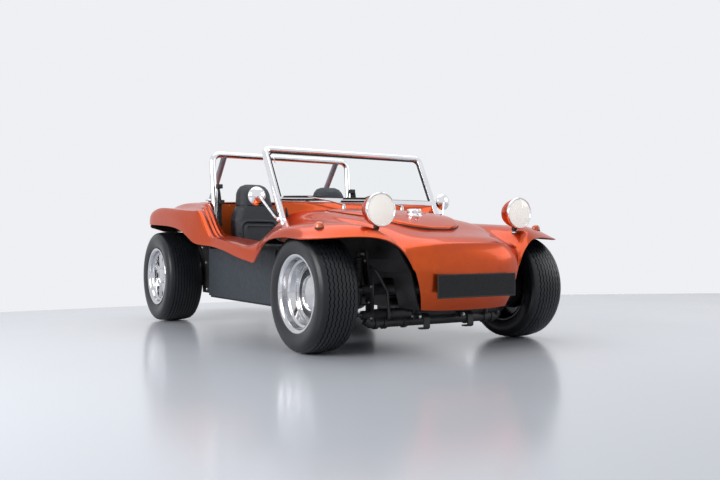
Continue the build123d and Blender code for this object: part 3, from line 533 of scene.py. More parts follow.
def make_copies_tree():
    """A tree that puts a shape at each point of a mesh, along its "way", turned by chance about it."""
    inputs = [("Places", "Geometry"), ("Shape", "Object"), ("Size", "Float"), ("Turn", "Float"), ("Seed", "Int"),
              ("Finish", "Material")]
    tree, nodes, entry = node_tree("Copies", "GeometryNodeTree", [(*pair, None) for pair in inputs],
                                   [("Copies", "Geometry")])
    shape = nodes("GeometryNodeObjectInfo", {"Object": entry["Shape"]})
    way = nodes("GeometryNodeInputNamedAttribute", {"Name": "way"}, data_type="FLOAT_VECTOR")
    size = nodes("GeometryNodeInputNamedAttribute", {"Name": "size"}, data_type="FLOAT")
    scale = nodes.math("MULTIPLY", size.outputs["Attribute"], entry["Size"])
    facing = nodes("FunctionNodeAlignRotationToVector", {"Vector": way.outputs["Attribute"]}, axis="Z")
    chance = nodes("FunctionNodeRandomValue", {2: 0.0, 3: entry["Turn"], "Seed": entry["Seed"]}, data_type="FLOAT")
    spin = nodes("FunctionNodeAxisAngleToRotation", {"Axis": (0, 0, 1), "Angle": chance.outputs[1]})
    turned = nodes("FunctionNodeRotateRotation", {"Rotation": facing.outputs[0], "Rotate By": spin.outputs[0]},
                   rotation_space="LOCAL")
    placed = nodes("GeometryNodeInstanceOnPoints", {"Points": entry["Places"], "Instance": shape.outputs["Geometry"],
                                                    "Rotation": turned.outputs[0], "Scale": scale})
    real = nodes("GeometryNodeRealizeInstances", {"Geometry": placed.outputs[0]})
    done = nodes("GeometryNodeSetMaterial", {"Geometry": real.outputs[0], "Material": entry["Finish"]})
    nodes("NodeGroupOutput", {"Copies": done.outputs[0]})
    return tree


def copies(name, shape, places, finish_name, turn=0.0):
    """One mesh of the shape at each place; a place is a point, a direction and, if not 1, a size."""
    tree = bpy.data.node_groups.get("Copies") or make_copies_tree()
    data = bpy.data.meshes.new(name)
    data.from_pydata([tuple(place[0]) for place in places], [], [])
    way = data.attributes.new("way", "FLOAT_VECTOR", "POINT")
    way.data.foreach_set("vector", [c for place in places for c in place[1]])
    sizes = data.attributes.new("size", "FLOAT", "POINT")
    sizes.data.foreach_set("value", [place[2] if len(place) > 2 else 1.0 for place in places])
    obj = linked(name, data)
    model = bpy.data.objects.new(name + "_shape", shape.mesh(name + "_shape", angle=35))
    spread = modify(obj, "NODES", node_group=tree)
    given = {"Shape": model, "Size": 1.0, "Turn": turn, "Seed": COPIES_SEED, "Finish": FINISHES[finish_name]}
    for socket in tree.interface.items_tree:
        if socket.in_out == "INPUT" and socket.name in given:
            spread[socket.identifier] = given[socket.name]
    evaluated(obj, 35)
    bpy.data.objects.remove(model)
    for label in ("way", "size"):
        if label in obj.data.attributes:
            obj.data.attributes.remove(obj.data.attributes[label])
    obj.data.name = name
    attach(obj, "root")


def bolt_head(radius, high):
    """A hexagonal head on its washer, standing along Z."""
    shape = Shape()
    shape.lathe([(0, radius * 1.35), (high * .25, radius * 1.35), (high * .25, radius)], ORIGIN, "Z", 12)
    shape.lathe([(high * .25, radius), (high * .85, radius), (high, radius * .85), (high, .0001)], ORIGIN, "Z", 6)
    return shape


# ---------------------------------------------------------------- bodywork


# Rows of the nose below its brow: four points from the middle out to its corner.
NOSE_ROWS = [
    [(0, -.430, .226), (.10, -.427, .226), (.205, -.414, .227), (.284, -.390, .232)],
    [(0, -.476, .30), (.11, -.473, .30), (.22, -.458, .30), (.305, -.418, .30)],
    [(0, -.484, .36), (.115, -.482, .36), (.235, -.470, .36), (.322, -.428, .36)],
]
# Rows from the nose's front back over the hood and the front fender: middle, hood, valley, fender, lip.
FRONT_ROWS = [
    [(0, -.487, .425), (.12, -.485, .425), (.245, -.474, .425), (.343, -.428, .425), (.347, -.426, .434),
     (.371, -.418, .490), (.415, -.412, .552), (.49, -.385, .600), (.60, -.330, .611), (.72, -.282, .605),
     (.80, -.258, .600), (.845, -.220, .599), (.866, -.175, .598)],
    [(0, -.480, .49), (.125, -.478, .49), (.25, -.468, .49), (.344, -.424, .49), (.366, -.404, .490),
     (.397, -.396, .536), (.437, -.376, .590), (.503, -.345, .636), (.61, -.286, .648), (.725, -.232, .634),
     (.802, -.200, .623), (.845, -.145, .614), (.866, -.112, .600)],
    [(0, -.466, .535), (.13, -.464, .535), (.26, -.450, .535), (.354, -.398, .532), (.374, -.380, .532),
     (.405, -.360, .560), (.447, -.332, .614), (.515, -.292, .662), (.62, -.215, .671), (.73, -.175, .656),
     (.803, -.140, .645), (.842, -.085, .631), (.864, -.065, .602)],
    [(0, -.442, .574), (.13, -.440, .574), (.265, -.425, .571), (.362, -.365, .553), (.390, -.348, .547),
     (.418, -.325, .576), (.46, -.28, .632), (.525, -.235, .672), (.625, -.165, .681), (.735, -.12, .668),
     (.805, -.07, .655), (.843, -.02, .637), (.863, -.01, .605)],
    [(0, -.365, .606), (.14, -.362, .606), (.275, -.345, .600), (.366, -.30, .577), (.399, -.285, .566),
     (.43, -.265, .597), (.47, -.235, .646), (.535, -.19, .676), (.63, -.12, .685), (.74, -.075, .673),
     (.81, -.02, .659), (.846, .02, .640), (.862, .03, .606)],
    [(0, -.18, .645), (.15, -.18, .645), (.285, -.18, .641), (.376, -.18, .622), (.408, -.17, .602),
     (.445, -.16, .622), (.485, -.14, .652), (.55, -.11, .675), (.64, -.06, .684), (.745, -.02, .675),
     (.815, .03, .660), (.848, .06, .640), (.862, .07, .605)],
    [(0, -.04, .690), (.155, -.04, .690), (.30, -.04, .688), (.39, -.04, .680), (.423, -.04, .655),
     (.46, -.03, .664), (.50, -.01, .678), (.56, .02, .688), (.65, .06, .690), (.75, .09, .678),
     (.818, .12, .660), (.85, .13, .637), (.863, .135, .602)],
    [(0, .10, .729), (.15, .10, .727), (.30, .10, .722), (.40, .10, .706), (.433, .10, .686),
     (.47, .10, .688), (.51, .12, .693), (.57, .15, .696), (.655, .18, .690), (.75, .20, .670),
     (.818, .21, .648), (.85, .215, .622), (.863, .22, .594)],
    [(0, .24, .755), (.155, .24, .753), (.31, .24, .742), (.41, .24, .724), (.443, .24, .708),
     (.48, .25, .702), (.52, .26, .702), (.58, .28, .700), (.66, .29, .684), (.75, .30, .652),
     (.815, .30, .620), (.848, .30, .585), (.86, .305, .560)],
    [(0, .405, .774), (.16, .405, .772), (.32, .405, .764), (.42, .405, .743), (.455, .405, .729),
     (.49, .405, .714), (.536, .405, .701), (.59, .405, .692), (.66, .405, .670), (.76, .405, .608),
     (.825, .405, .540), (.855, .405, .486), (.86, .405, .460)],
    [(0, .53, .782), (.165, .53, .781), (.33, .535, .777), (.425, .535, .763), (.465, .54, .752),
     (.505, .545, .736), (.545, .545, .714), (.585, .545, .694), (.66, .53, .660), (.755, .50, .600),
     (.81, .47, .533), (.838, .447, .484), (.848, .438, .466)],
    [(0, .62, .786), (.165, .62, .785), (.33, .625, .781), (.425, .63, .772), (.47, .635, .764),
     (.515, .645, .753), (.552, .650, .735), (.585, .652, .690), (.66, .628, .637), (.75, .565, .584),
     (.80, .517, .530), (.83, .480, .488), (.84, .470, .476)],
]
# The rear fender's columns where it is widest: x, y of foot and shoulder, z of shoulder and crown.
FENDER_COLUMNS = [
    (.840, 1.15, 1.35, .782, .832), (.828, 1.15, 1.35, .782, .832), (.800, 1.17, 1.40, .797, .830),
    (.768, 1.20, 1.45, .806, .829), (.735, 1.23, 1.51, .818, .834), (.702, 1.28, 1.57, .832, .860),
    (.662, 1.34, 1.65, .850, .873), (.625, 1.41, 1.72, .860, .873), (.600, 1.46, 1.775, .864, .873),
]
# Where the sheet's columns stand, with the lift of the flutes and of the sill's rolled lip there.
FLUTE_COLUMNS = [
    (.868, 0, .004), (.860, .014, .010), (.848, .014, .002), (.838, .013, -.014), (.826, .013, -.008),
    (.780, .012, 0), (.769, -.016, 0), (.758, -.016, 0), (.748, .008, 0), (.708, .010, 0), (.697, -.016, 0),
    (.686, -.016, 0), (.676, .014, 0), (.630, .012, 0), (.618, 0, 0), (.606, 0, 0),
]
# The lip along the side: y, x and z of the lip, x and z of the edge above it, x of the inner edge.
LIP_ROWS = [
    (.487, .842, .478, .826, .497, .540), (.70, .843, .493, .828, .520, .540), (.85, .842, .526, .827, .547, .545),
    (1.03, .842, .548, .827, .571, .555), (1.10, .842, .556, .828, .578, .558), (1.20, .855, .560, .844, .586, .562),
    (1.30, .868, .568, .860, .610, .568), (1.40, .878, .596, .874, .660, .575), (1.52, .884, .662, .885, .730, .585),
    (1.62, .885, .680, .886, .765, .597), (1.70, .886, .690, .887, .782, .600), (2.00, .886, .702, .887, .794, .600),
    (2.25, .882, .712, .882, .782, .600), (2.45, .806, .716, .806, .738, .600),
]
# Top of the sill: y, z by the lip, z by the cockpit.
SILL_TOPS = [(.487, .515, .575), (.66, .540, .577), (.85, .569, .578), (1.03, .597, .590), (1.10, .600, .598),
             (1.20, .608, .606), (1.46, .628, .630)]
# How far the crown has fallen: y, fall.
FALLS = [(1.9, 0), (2.0, 0), (2.12, .006), (2.25, .026), (2.36, .056), (2.45, .095)]
RIDGE = [(.536, .640, .580), (.585, .636, .586), (.66, .618, .628), (.75, .556, .577), (.80, .510, .524),
         (.83, .474, .482), (.84, .466, .470)]
CREASE = .75
# The side sheet's first column and its width from there to the lip, before it is fitted between LIP_ROWS.
SIDE_X, SIDE_WIDE = .6, .286
# The crown runs level from this y on, and its shoulder ends this far behind each column's own.
CROWN_Y, SHOULDER_RUN = 2.0, .03
# Shares of the flank over which a flute rises, by which it has faded and over which it fades; its gain there.
FLUTE_RISE, FLUTE_END, FLUTE_FADE, FLUTE_GAIN = .16, 1.12, .30, 1.25
# Height of the inner wall's edge beside the cockpit, how much it climbs, from which y and over what length.
WALL_LOW, WALL_CLIMB, WALL_FROM, WALL_RUN = .575, .085, 1.45, .4


def quads(rows):
    """Rows of (x, y, z) as points of the frame."""
    return [[car(*p) for p in row] for row in rows]


def sheet_piece(name, shape, sharp, *nodes):
    """A welded, creased and subdivided sheet with a black inner side."""
    data = shape.mesh(name, weld=.001)
    work = bmesh.new()
    work.from_mesh(data)
    layer = work.edges.layers.float.new("crease_edge")
    middles = [(a + b) / 2 for a, b in sharp]
    for edge in work.edges:
        at = (edge.verts[0].co + edge.verts[1].co) / 2
        if any((at - known).length < 1e-3 for known in middles):
            edge[layer] = CREASE
    work.to_mesh(data)
    work.free()
    obj = piece(data, "copper_orange under_black", "paint", *nodes)
    modify(obj, "SUBSURF", levels=2, render_levels=2)
    modify(obj, "SOLIDIFY", thickness=size("shell"), offset=-1, material_offset=1, use_even_offset=False)
    evaluated(obj, 50)
    obj.data.name = name


def run(row):
    """The edges along a row of points, as pairs."""
    return list(zip(row, row[1:]))


def flip(pairs):
    """Pairs of points with their mirror images."""
    return pairs + [(vec(-a.x, a.y, a.z), vec(-b.x, b.y, b.z)) for a, b in pairs]


def build_front():
    """Nose, hood and both front fenders in one sheet."""
    shape, rows = Shape(), quads(FRONT_ROWS)
    nose = quads(NOSE_ROWS) + [rows[0][:4]]
    shape.grid(nose)
    shape.grid(rows)
    sharp = run(rows[3][:5]) + run(rows[4][:5])
    sharp += run([row[3] for row in rows]) + run([row[12] for row in rows]) + run([row[3] for row in nose])
    sharp += run(rows[-1]) + run(nose[0]) + run(rows[0][3:])
    shape.both_sides()
    sheet_piece("front_bodywork", shape, flip(sharp), "nose", "front_deck", "front_fender_right",
                "front_fender_left")


def between(table, at):
    """The other columns of a table, read at a value of its first one."""
    table = np.array(sorted(table))
    return [float(np.interp(at, table[:, 0], table[:, n])) for n in range(1, table.shape[1])]


def ease(share):
    """A share from 0 to 1 that starts and ends gently."""
    return share * share * (3 - 2 * share)


def side_height(x, y, lift, roll=0.0):
    """Height of the sill and the rear fender at a column's widest x."""
    foot, shoulder, shoulder_z, crown_z = between(FENDER_COLUMNS, x)
    by_lip, by_cockpit = between(SILL_TOPS, y)
    low = by_lip + (by_cockpit - by_lip) * clamp((.848 - x) / .2)
    low += roll * clamp((1.22 - y) / .15)
    share = (y - foot) / (shoulder - foot)
    if share <= 0:
        return low
    fade = clamp(min(share / FLUTE_RISE, (FLUTE_END - share) / FLUTE_FADE))
    if share < 1:
        return low + (shoulder_z - low) * ease(share) + lift * fade * FLUTE_GAIN
    onward = min(1.0, (y - shoulder) / (CROWN_Y - shoulder))
    return shoulder_z + (crown_z - shoulder_z) * onward - between(FALLS, y)[0] + lift * fade


STATIONS = [(kind, value) for kind, values in (
    ("ahead", (.70, .85, .98, 1.08)), ("share", (-.12, .04, .16, .32, .5, .68, .84, .97, 1.08)),
    ("behind", (.25, .6, 1)), ("tail", (2.12, 2.25, 2.36, 2.45))) for value in values]


def station_y(kind, value, x):
    """Where a column crosses a station, given by its y, by its share up the flank or by its share behind it."""
    foot, shoulder = between(FENDER_COLUMNS, x)[:2]
    if kind == "share":
        return foot + (shoulder - foot) * value
    if kind == "behind":
        return shoulder + SHOULDER_RUN + (CROWN_Y - shoulder - SHOULDER_RUN) * value
    return value


def side_rows():
    """Points of the sill and the rear fender, row by row, from the cockpit's edge to the lip."""
    columns = FLUTE_COLUMNS[::-1]
    ridge_row = [(x, *between(RIDGE, x)) for x in np.linspace(.542, .806, len(columns) + 1)]
    rows = [[(.538, .640, .570)] + ridge_row + [(.828, .471, .478), (.838, .460, .463)]]
    for kind, value in STATIONS:
        y = station_y(kind, value, SIDE_X)
        inner_x, height = between(LIP_ROWS, y)[4], side_height(SIDE_X, y, 0)
        wall = WALL_LOW + WALL_CLIMB * ease(clamp((y - WALL_FROM) / WALL_RUN))
        row = [(inner_x - .002, y, min(height - .010, wall)), (inner_x, y, height)]
        for x, lift, roll in columns:
            y = station_y(kind, value, x)
            lip_x = between(LIP_ROWS, y)[0]
            fitted = SIDE_X + (x - SIDE_X) * (lip_x - SIDE_X) / SIDE_WIDE
            row.append((fitted, y, side_height(x, y, lift, roll)))
        y = station_y(kind, value, SIDE_X + SIDE_WIDE)
        lip_x, lip_z, edge_x, edge_z = between(LIP_ROWS, y)[:4]
        rows.append(row + [(edge_x, y, edge_z), (lip_x, y, lip_z)])
    end = rows[-1]
    rows.append([(x, y + .008, z - .012) for x, y, z in end])
    rows.append([(x * .995 + .003, y + .006, min(z, .705) - .012) for x, y, z in end])
    rows.append([(x * .98 + .012, y - .01, .688 - .030 * clamp((.80 - x) / .1)) for x, y, z in end])
    return rows


def build_sill(side, sign):
    """Sill, flutes and rear fender of one side."""
    rows = [[car(x * sign, y, z) for x, y, z in row] for row in side_rows()]
    shape = Shape()
    shape.grid(rows)
    sharp = run([row[-1] for row in rows]) + run([row[1] for row in rows]) + run(rows[0]) + run(rows[-1])
    sharp += run([row[-2] for row in rows[:8]])
    sheet_piece(f"side_bodywork_{side}", shape, sharp, f"sill_{side}", f"rear_fender_{side}")


def build_cowl():
    """The step below the windscreen: a steep face, a flat top and closed ends."""
    foot = [(0, .60, .783), (.165, .60, .781), (.33, .603, .778), (.425, .61, .769), (.47, .616, .760),
            (.515, .626, .746), (.552, .634, .724), (.576, .640, .690)]
    rows = [
        [(x, y, z - .004) for x, y, z in foot],
        [(x, y + .008, z + (.806 - z) * .25) for x, y, z in foot],
        [(x, .630 + (y - .6) * .4, z + (.818 - z) * .84) for x, y, z in foot],
        [(x, .642 + (y - .6) * .2, .824) for x, y, z in foot],
        [(x, .660, .828) for x, y, z in foot],
        [(x, .704, .822) for x, y, z in foot],
        [(x, .708, .800) for x, y, z in foot],
    ]
    shape = Shape()
    shape.grid(quads(rows))
    ends = [car(.576, y, z) for x, y, z in (row[-1] for row in rows)]
    shape.grid([ends, [p + vec(.003, 0, -.002) for p in ends],
                [vec(p.x - .002, AXLE_Y + .68, .70) for p in ends]], finish=1)
    shape.both_sides()
    sheet_piece("cowl_step", shape, flip(run(quads(rows)[0]) + run(ends)), "cowl")
    seal = Shape()
    seal.prism([car(.534, .585, .694), car(.534, .672, .838), car(.534, .700, .838), car(.534, .625, .694)],
               vec(.008, 0, 0))
    seal.both_sides()
    piece(seal.mesh("cowl_seals", angle=20), "rubber_black")


def build_rear_deck():
    """The cover over the gearbox, crowned across, with a rolled rear edge."""
    rows = []
    for y, edge, rise in ((1.772, .862, .016), (1.80, .868, .018), (1.95, .872, .020), (2.10, .866, .020),
                          (2.20, .852, .018), (2.243, .838, .014), (2.252, .815, .010), (2.246, .79, .008)):
        rows.append([(x, y, edge + rise * (1 - (x / .606) ** 2)) for x in (0, .15, .3, .45, .56, .606)])
    shape = Shape()
    shape.grid(quads(rows))
    shape.both_sides()
    sheet_piece("rear_cover", shape, flip(run(quads(rows)[0])), "rear_deck")


# Half the width of the hood lid: y, half width.
LID_EDGE = [(-.186, .030), (-.180, .070), (-.166, .108), (-.140, .150), (-.10, .192), (-.04, .232), (.03, .262),
            (.12, .290), (.24, .318), (.36, .334), (.50, .345)]


def build_lid():
    """The crowned hood lid standing proud of the deck, over a black tube along its edge: painted shade in the gap
    beneath it.
    """
    deck = BVHTree.FromObject(bpy.data.objects["front_bodywork"], bpy.context.evaluated_depsgraph_get())

    def above(x, y, lift):
        return deck.ray_cast(car(x, y, 1.2), vec(0, 0, -1))[0] + vec(0, 0, lift)

    lifts = (.0065, .0155, .0185, .0200, .0215, .0225)
    shares = (-1, -.965, -.92, -.75, -.4, 0, .4, .75, .92, .965, 1)
    lid, seal = Shape(), Shape()
    rows = []
    for n, (y, half) in enumerate(LID_EDGE):
        # the lid sinks toward the windscreen
        settle = 1 - .55 * clamp((y - .05) / .40)
        rows.append([above(half * share, y, lifts[min(n, m, len(shares) - 1 - m)] * settle)
                     for m, share in enumerate(shares)])
    lid.grid(rows)
    edge = [row[0] for row in reversed(rows)] + rows[0][1:-1] + [row[-1] for row in rows]
    # a black tube under the lid's edge: painted shade that darkens the gap
    seal.tube([p - vec(0, 0, .006) + vec(-.004 * p.x / .3, .003, 0) for p in edge], .0052, 8)
    obj = piece(lid.mesh("hood_lid_panel"), "copper_orange under_black", "paint", "hood_lid")
    modify(obj, "SUBSURF", levels=2, render_levels=2)
    modify(obj, "SOLIDIFY", thickness=size("lid"), offset=-1, material_offset=1)
    evaluated(obj)
    obj.data.shade_smooth()
    piece(seal.mesh("hood_lid_seal", angle=35), "rubber_black")


def build_bodywork():
    build_front()
    for side, sign in SIDES:
        build_sill(side, sign)
    build_cowl()
    build_rear_deck()
    build_lid()


# ---------------------------------------------------------------- wheels


# (share of the half width, share of the radius from rim to tread) across half a tyre's section
TYRE_SECTION = [(0.70, 0.00), (0.78, 0.02), (0.86, 0.09), (0.925, 0.22), (0.93, 0.235), (0.975, 0.38),
                (0.995, 0.50), (0.998, 0.60), (0.985, 0.69), (0.960, 0.765), (0.952, 0.772), (0.925, 0.825),
                (0.875, 0.880), (0.815, 0.915), (0.760, 0.932)]
# (depth from the rim's outer face, radius) of the parts of each wheel
FLANGE = [(.010, .1895), (.007, .1990), (.004, .2060), (.0018, .2072), (.0002, .2062), (0, .2000), (.0015, .1945),
          (.005, .1900), (.0095, .1850), (.013, .1830)]
BARRELS = {
    "front": [(.030, .1795), (.043, .1768), (.0455, .1735), (.0475, .1665), (.0505, .1638), (.078, .1605),
              (.0815, .1575), (.0835, .1400), (.0865, .1372), (.0905, .1365), (.0925, .1340)],
    "rear": [(.024, .1795), (.033, .1765), (.0355, .1730), (.0375, .1685), (.040, .1675), (.047, .1670)],
}
CAPS = {
    "front": [(.108, .0975), (.094, .0978), (.0875, .0950), (.0835, .0890), (.0795, .0780), (.0765, .0640),
              (.0748, .0480), (.0738, .0280), (.0735, .0060), (.0735, .0010)],
    "rear": [(.052, .0640), (.044, .0635), (.039, .0600), (.0355, .0500), (.0335, .0350), (.0325, .0180),
             (.0322, .0010)],
}
# The parts between barrel and cap, in painted shade: their chrome drawn dark for the dark it reflects.
BANDS = {"front": [[(.0925, .1340), (.100, .1275), (.108, .1215), (.110, .1150), (.110, .0900)],
                   [(.110, .100), (.117, .135)]],
         "rear": [[(.060, .1665), (.105, .1665), (.117, .135)]]}
DRUM_STEPS = {"front": [(.129, .100), (.150, .1275)], "rear": [(.19, .100), (.20, .1275)]}
WINDOWS, WHEEL_BOLTS, RIM_SIDES = 8, 5, 64
# Radii of the rear disc's rings, from the hub out, and the numbers of the rings between which its windows are cut.
DISC_RADII, WINDOW_RINGS = (.058, .072, .088, .104, .108, .124, .142, .158, .163, .168), range(4, 8)
# (waves round the tread, their sway, grooves) of each tyre
TREADS = {"front": (54, .0032, 7), "rear": (72, .0016, 9)}
BEAD_RADIUS, CROWN_DROP = .1925, .007


def build_tyre(end, side):
    """A tyre: rounded walls with a ribbed shoulder, and a crowned tread with wavy grooves."""
    node = f"{end}_tyre_{side}"
    low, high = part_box(node)
    centre, half_width, outer = (low + high) / 2, (high.x - low.x) / 2, (high.z - low.z) / 2
    around = 360
    waves, sway, grooves = TREADS[end]
    bead, groove, rib = BEAD_RADIUS, size("groove"), size("rib")
    tread_half = half_width * .70
    section = [(-across * half_width, bead + (outer - bead) * out, 0) for across, out in TYRE_SECTION]
    pitch = 2 * tread_half / grooves
    for g in range(grooves):
        left = -tread_half + g * pitch
        for offset, depth in ((.08, 0), (.40, 0), (.45, 1), (.60, 1), (.65, 0)):
            section.append((left + offset * pitch, outer, depth))
    section.append((tread_half, outer, 0))
    section += [(across * half_width, bead + (outer - bead) * out, 0) for across, out in reversed(TYRE_SECTION)]
    rows = []
    for x, radius, depth in section:
        tread = radius == outer
        if tread:
            radius -= CROWN_DROP * (abs(x) / tread_half) ** 2.4 + depth * groove
        share = (radius - bead) / (outer - bead)
        row = []
        for n in range(around):
            angle = n * TAU / around
            shift = sway * math.sin(waves * angle) if tread else 0
            out = radius + (rib * (n % 2) if not tread and .80 < share < .93 else 0)
            row.append(vec(centre.x + x + shift, centre.y + out * math.cos(angle), centre.z + out * math.sin(angle)))
        rows.append(row)
    shape = Shape()
    shape.grid(rows, wrap=True, loop=True)
    piece(shape.mesh(f"{node}_carcass", angle=32), "tyre_rubber", "tyre", node, body=f"{end}_wheel_{side}")


def spoked_disc(shape, place):
    """The rear wheel's disc: ribs between windows that widen outwards."""
    rows = []
    for radius in DISC_RADII:
        opening = max(0.0, np.interp(radius, (.104, .108, .163, .168), (.004, .007, .037, .034)))
        row = []
        for window in range(WINDOWS):
            start = window * TAU / WINDOWS
            half = math.asin(opening / radius)
            flank = (math.pi / WINDOWS + half) / 2
            spokes = ((-math.pi / WINDOWS, .0385), (-flank, .0425), (-half, .0500), (half, .0500), (flank, .0425))
            dish = .006 * ((radius - DISC_RADII[0]) / .11)
            row += [place(depth + dish, radius, start + turn) for turn, depth in spokes]
        rows.append(row)
    wide, each = len(rows[0]), len(spokes)
    faces = []
    for i in range(len(rows) - 1):
        for j in range(wide):
            # a window is open between the third and the fourth point of each spoke
            if j % each != 2 or i not in WINDOW_RINGS:
                k = (j + 1) % wide
                faces.append((i * wide + j, i * wide + k, (i + 1) * wide + k, (i + 1) * wide + j))
    shape.add([p for row in rows for p in row], faces)


def build_rim(end, side, sign):
    """A wheel: flanges, barrel, bands, brake drum and cap; the rear one has a spoked disc besides."""
    tyre_middle = middle(f"{end}_tyre_{side}")
    width = size(f"{end}_rim")
    face = tyre_middle.x + sign * width / 2

    def place(depth, radius, angle=0.0):
        return vec(face - sign * depth, tyre_middle.y + radius * math.cos(angle),
                   tyre_middle.z + radius * math.sin(angle))

    inner = [(width - .012, .1900), (width - .006, .1990), (width - .003, .2065), (width - .0005, .2070),
             (width, .2000), (width - .002, .1940), (width - .010, .1850), (width - .04, .1835), (.118, .1830),
             (.117, .135)]
    drum = [(.117, .100), *DRUM_STEPS[end], (width - .012, .1280), (width - .010, .060)]
    shape = Shape()
    # the front rim's inner side and the bands take the darkened chrome, as painted shade
    for profile, finish_number in ((FLANGE, 0), (FLANGE[-1:] + BARRELS[end], 0), (inner, int(end == "front")),
                                   (drum, 2), *((band, 1) for band in BANDS[end]), (CAPS[end], 0)):
        shape.grid([[place(depth, radius, n * TAU / RIM_SIDES) for n in range(RIM_SIDES)]
                    for depth, radius in profile], finish_number, wrap=True)
    if end == "front":
        for n in range(WHEEL_BOLTS):
            bolt = place(.1085, .1085, (n + .5) * TAU / WHEEL_BOLTS)
            shape.lathe([(-.004, .0085), (.004, .0085), (.0055, .006), (.0055, .001)], bolt, "X", 6)
    body = f"{end}_wheel_{side}"
    piece(shape.mesh(f"{end}_rim_{side}_finished", angle=38), "wheel_chrome barrel_dark black_steel", "wheel_rim",
          f"{end}_rim_{side}", body=body)
    if end == "rear":
        disc = Shape()
        spoked_disc(disc, place)
        obj = piece(disc.mesh(f"rear_disc_{side}", angle=50), "wheel_chrome", "wheel_rim", body=body)
        modify(obj, "SOLIDIFY", thickness=.008, offset=0)
        bevelled(obj, .0022, 2, 50)


def build_wheels():
    for end in ("front", "rear"):
        for side, sign in SIDES:
            build_tyre(end, side)
            build_rim(end, side, sign)


# ---------------------------------------------------------------- lamps, glass and brightwork


LAMP, LENS_RADIUS = (.472, -.308, .746), .0785
LAMP_SHELL = [(.1175, .001), (.1165, .018), (.112, .036), (.104, .050), (.091, .062), (.072, .073), (.050, .0805),
              (.030, .0842), (.0155, .0852), (.0150, .0838)]
LAMP_RING = [(.0170, .0850), (.0165, .0875), (.0120, .0886), (.0060, .0889), (.0010, .0878), (-.0012, .0850),
             (-.0008, .0815), (.0020, .0792), (.0070, .0785)]
REFLECTOR = [(.0080, .0785), (.0180, .0745), (.0300, .0660), (.0400, .0540), (.0480, .0400), (.0530, .0260),
             (.0550, .0130)]


def build_lamp(side, sign):
    """A headlamp: shell, ring, reflector, bulb, post and fluted glass."""
    centre = car(sign * LAMP[0], LAMP[1], LAMP[2])
    shape = Shape()
    shape.lathe(LAMP_SHELL, centre, "Y", 64, 0)
    shape.lathe(LAMP_RING, centre, "Y", 64, 1)
    shape.lathe(REFLECTOR, centre, "Y", 64, 1)
    shape.lathe([(.055, .0135), (.038, .0130), (.030, .0105), (.025, .0060), (.024, .0008)], centre, "Y", 24, 2)
    # clip at the top, pivot, and the short post on its rubber foot
    shape.block(centre + vec(-.006, -.002, .085), centre + vec(.006, .012, .0905), 1)
    foot = car(sign * LAMP[0], LAMP[1] + .048, LAMP[2] - .1)
    shape.lathe([(.030, .0008), (.0295, .012), (.022, .0155), (.006, .0160), (.002, .0125), (-.022, .0125),
                 (-.026, .0190), (-.034, .0235), (-.046, .0245)], foot, "Z", 24, 3)
    shape.lathe([(-.013, .0175), (-.006, .0175), (-.006, .0125)], foot, "Z", 6, 1)
    piece(shape.mesh(f"headlamp_{side}_unit"), "copper_orange chrome lamp_bulb rubber_black", "lamp_shell",
          f"headlamp_{side}")
    rows, rings, count = [], 14, 72
    for ring in range(rings + 1):
        radius = max(LENS_RADIUS * ring / rings, .0004)
        row = []
        for n in range(count):
            angle = n * TAU / count
            x, z = radius * math.cos(angle), radius * math.sin(angle)
            dome = -.0085 * (1 - (radius / LENS_RADIUS) ** 2)
            flute = .00022 * math.cos(x / LENS_RADIUS * 24) * (1 if ring < rings - 1 else 0)
            row.append(centre + vec(x, .0015 + dome + flute, z))
        rows.append(row)
    lens = Shape()
    lens.grid(rows, wrap=True)
    inside = [[p + vec(0, .003, 0) for p in row] for row in reversed(rows)]
    lens.grid(inside, wrap=True)
    lens.grid([rows[-1], inside[0]], wrap=True)
    lens.faces.append(tuple(range(count)))
    lens.faces.append(tuple(range(len(rows) * 2 * count - count, len(rows) * 2 * count)))
    lens.finishes += [0, 0]
    # the glass carries a faint painted glow
    piece(lens.mesh(f"headlamp_{side}_glass", weld=.00005, angle=60), "lamp_glass", "lamp_glass",
          f"headlamp_lens_{side}")


SCREEN_FOOT, SCREEN_RAKE = (.585, .690), math.radians(29)


def on_screen(x, up, out=0.0):
    """A point in the windscreen's plane, up its slope from the foot and out to its front."""
    return car(x, SCREEN_FOOT[0] + up * math.sin(SCREEN_RAKE) - out * math.cos(SCREEN_RAKE),
               SCREEN_FOOT[1] + up * math.cos(SCREEN_RAKE) + out * math.sin(SCREEN_RAKE))


def bar_between(shape, low, high, half=.012):
    """The flat rail between the screen's posts."""
    rows = []
    for n in range(25):
        x = -.566 + 1.132 * n / 24
        rows.append([on_screen(x, up, out) for up, out in (
            (low, -half), (low, half - .003), (low + .003, half), (high - .003, half), (high, half - .003),
            (high, -half))])
    shape.grid(rows, wrap=True)


def build_screen():
    """The windscreen's bent tube, its rail, its feet and its seals."""
    shape = Shape()
    path = rounded([on_screen(-.580, -.020), on_screen(-.590, .537), on_screen(.590, .537), on_screen(.580, -.020)],
                   .042, 10)
    shape.tube(path, .021, 24)
    bar_between(shape, .150, .186)
    # feet: chrome collars on rubber pads
    for sign in (-1, 1):
        foot = [on_screen(sign * .580, up) for up in (-.022, -.018, .018, .022)]
        shape.tube(foot, [.0215, .0228, .0228, .0215], 24)
        shape.tube([on_screen(sign * .580, -.030), on_screen(sign * .580, -.021)], .0235, 24, 1)
    # seals round the glass
    inner = [on_screen(-.556, .186), on_screen(-.563, .512), on_screen(.563, .512), on_screen(.556, .186)]
    seal = rounded(inner, .030, 8)
    shape.tube(seal, .0050, 8, 1)
    shape.tube([on_screen(-.536, .186, .004), on_screen(.536, .186, .004)], .0048, 8, 1)
    shape.tube([on_screen(-.51, .149, .002), on_screen(.51, .149, .002)], .0050, 8, 1)
    piece(shape.mesh("windscreen_surround"), "chrome rubber_black", "chrome", "windscreen_frame")


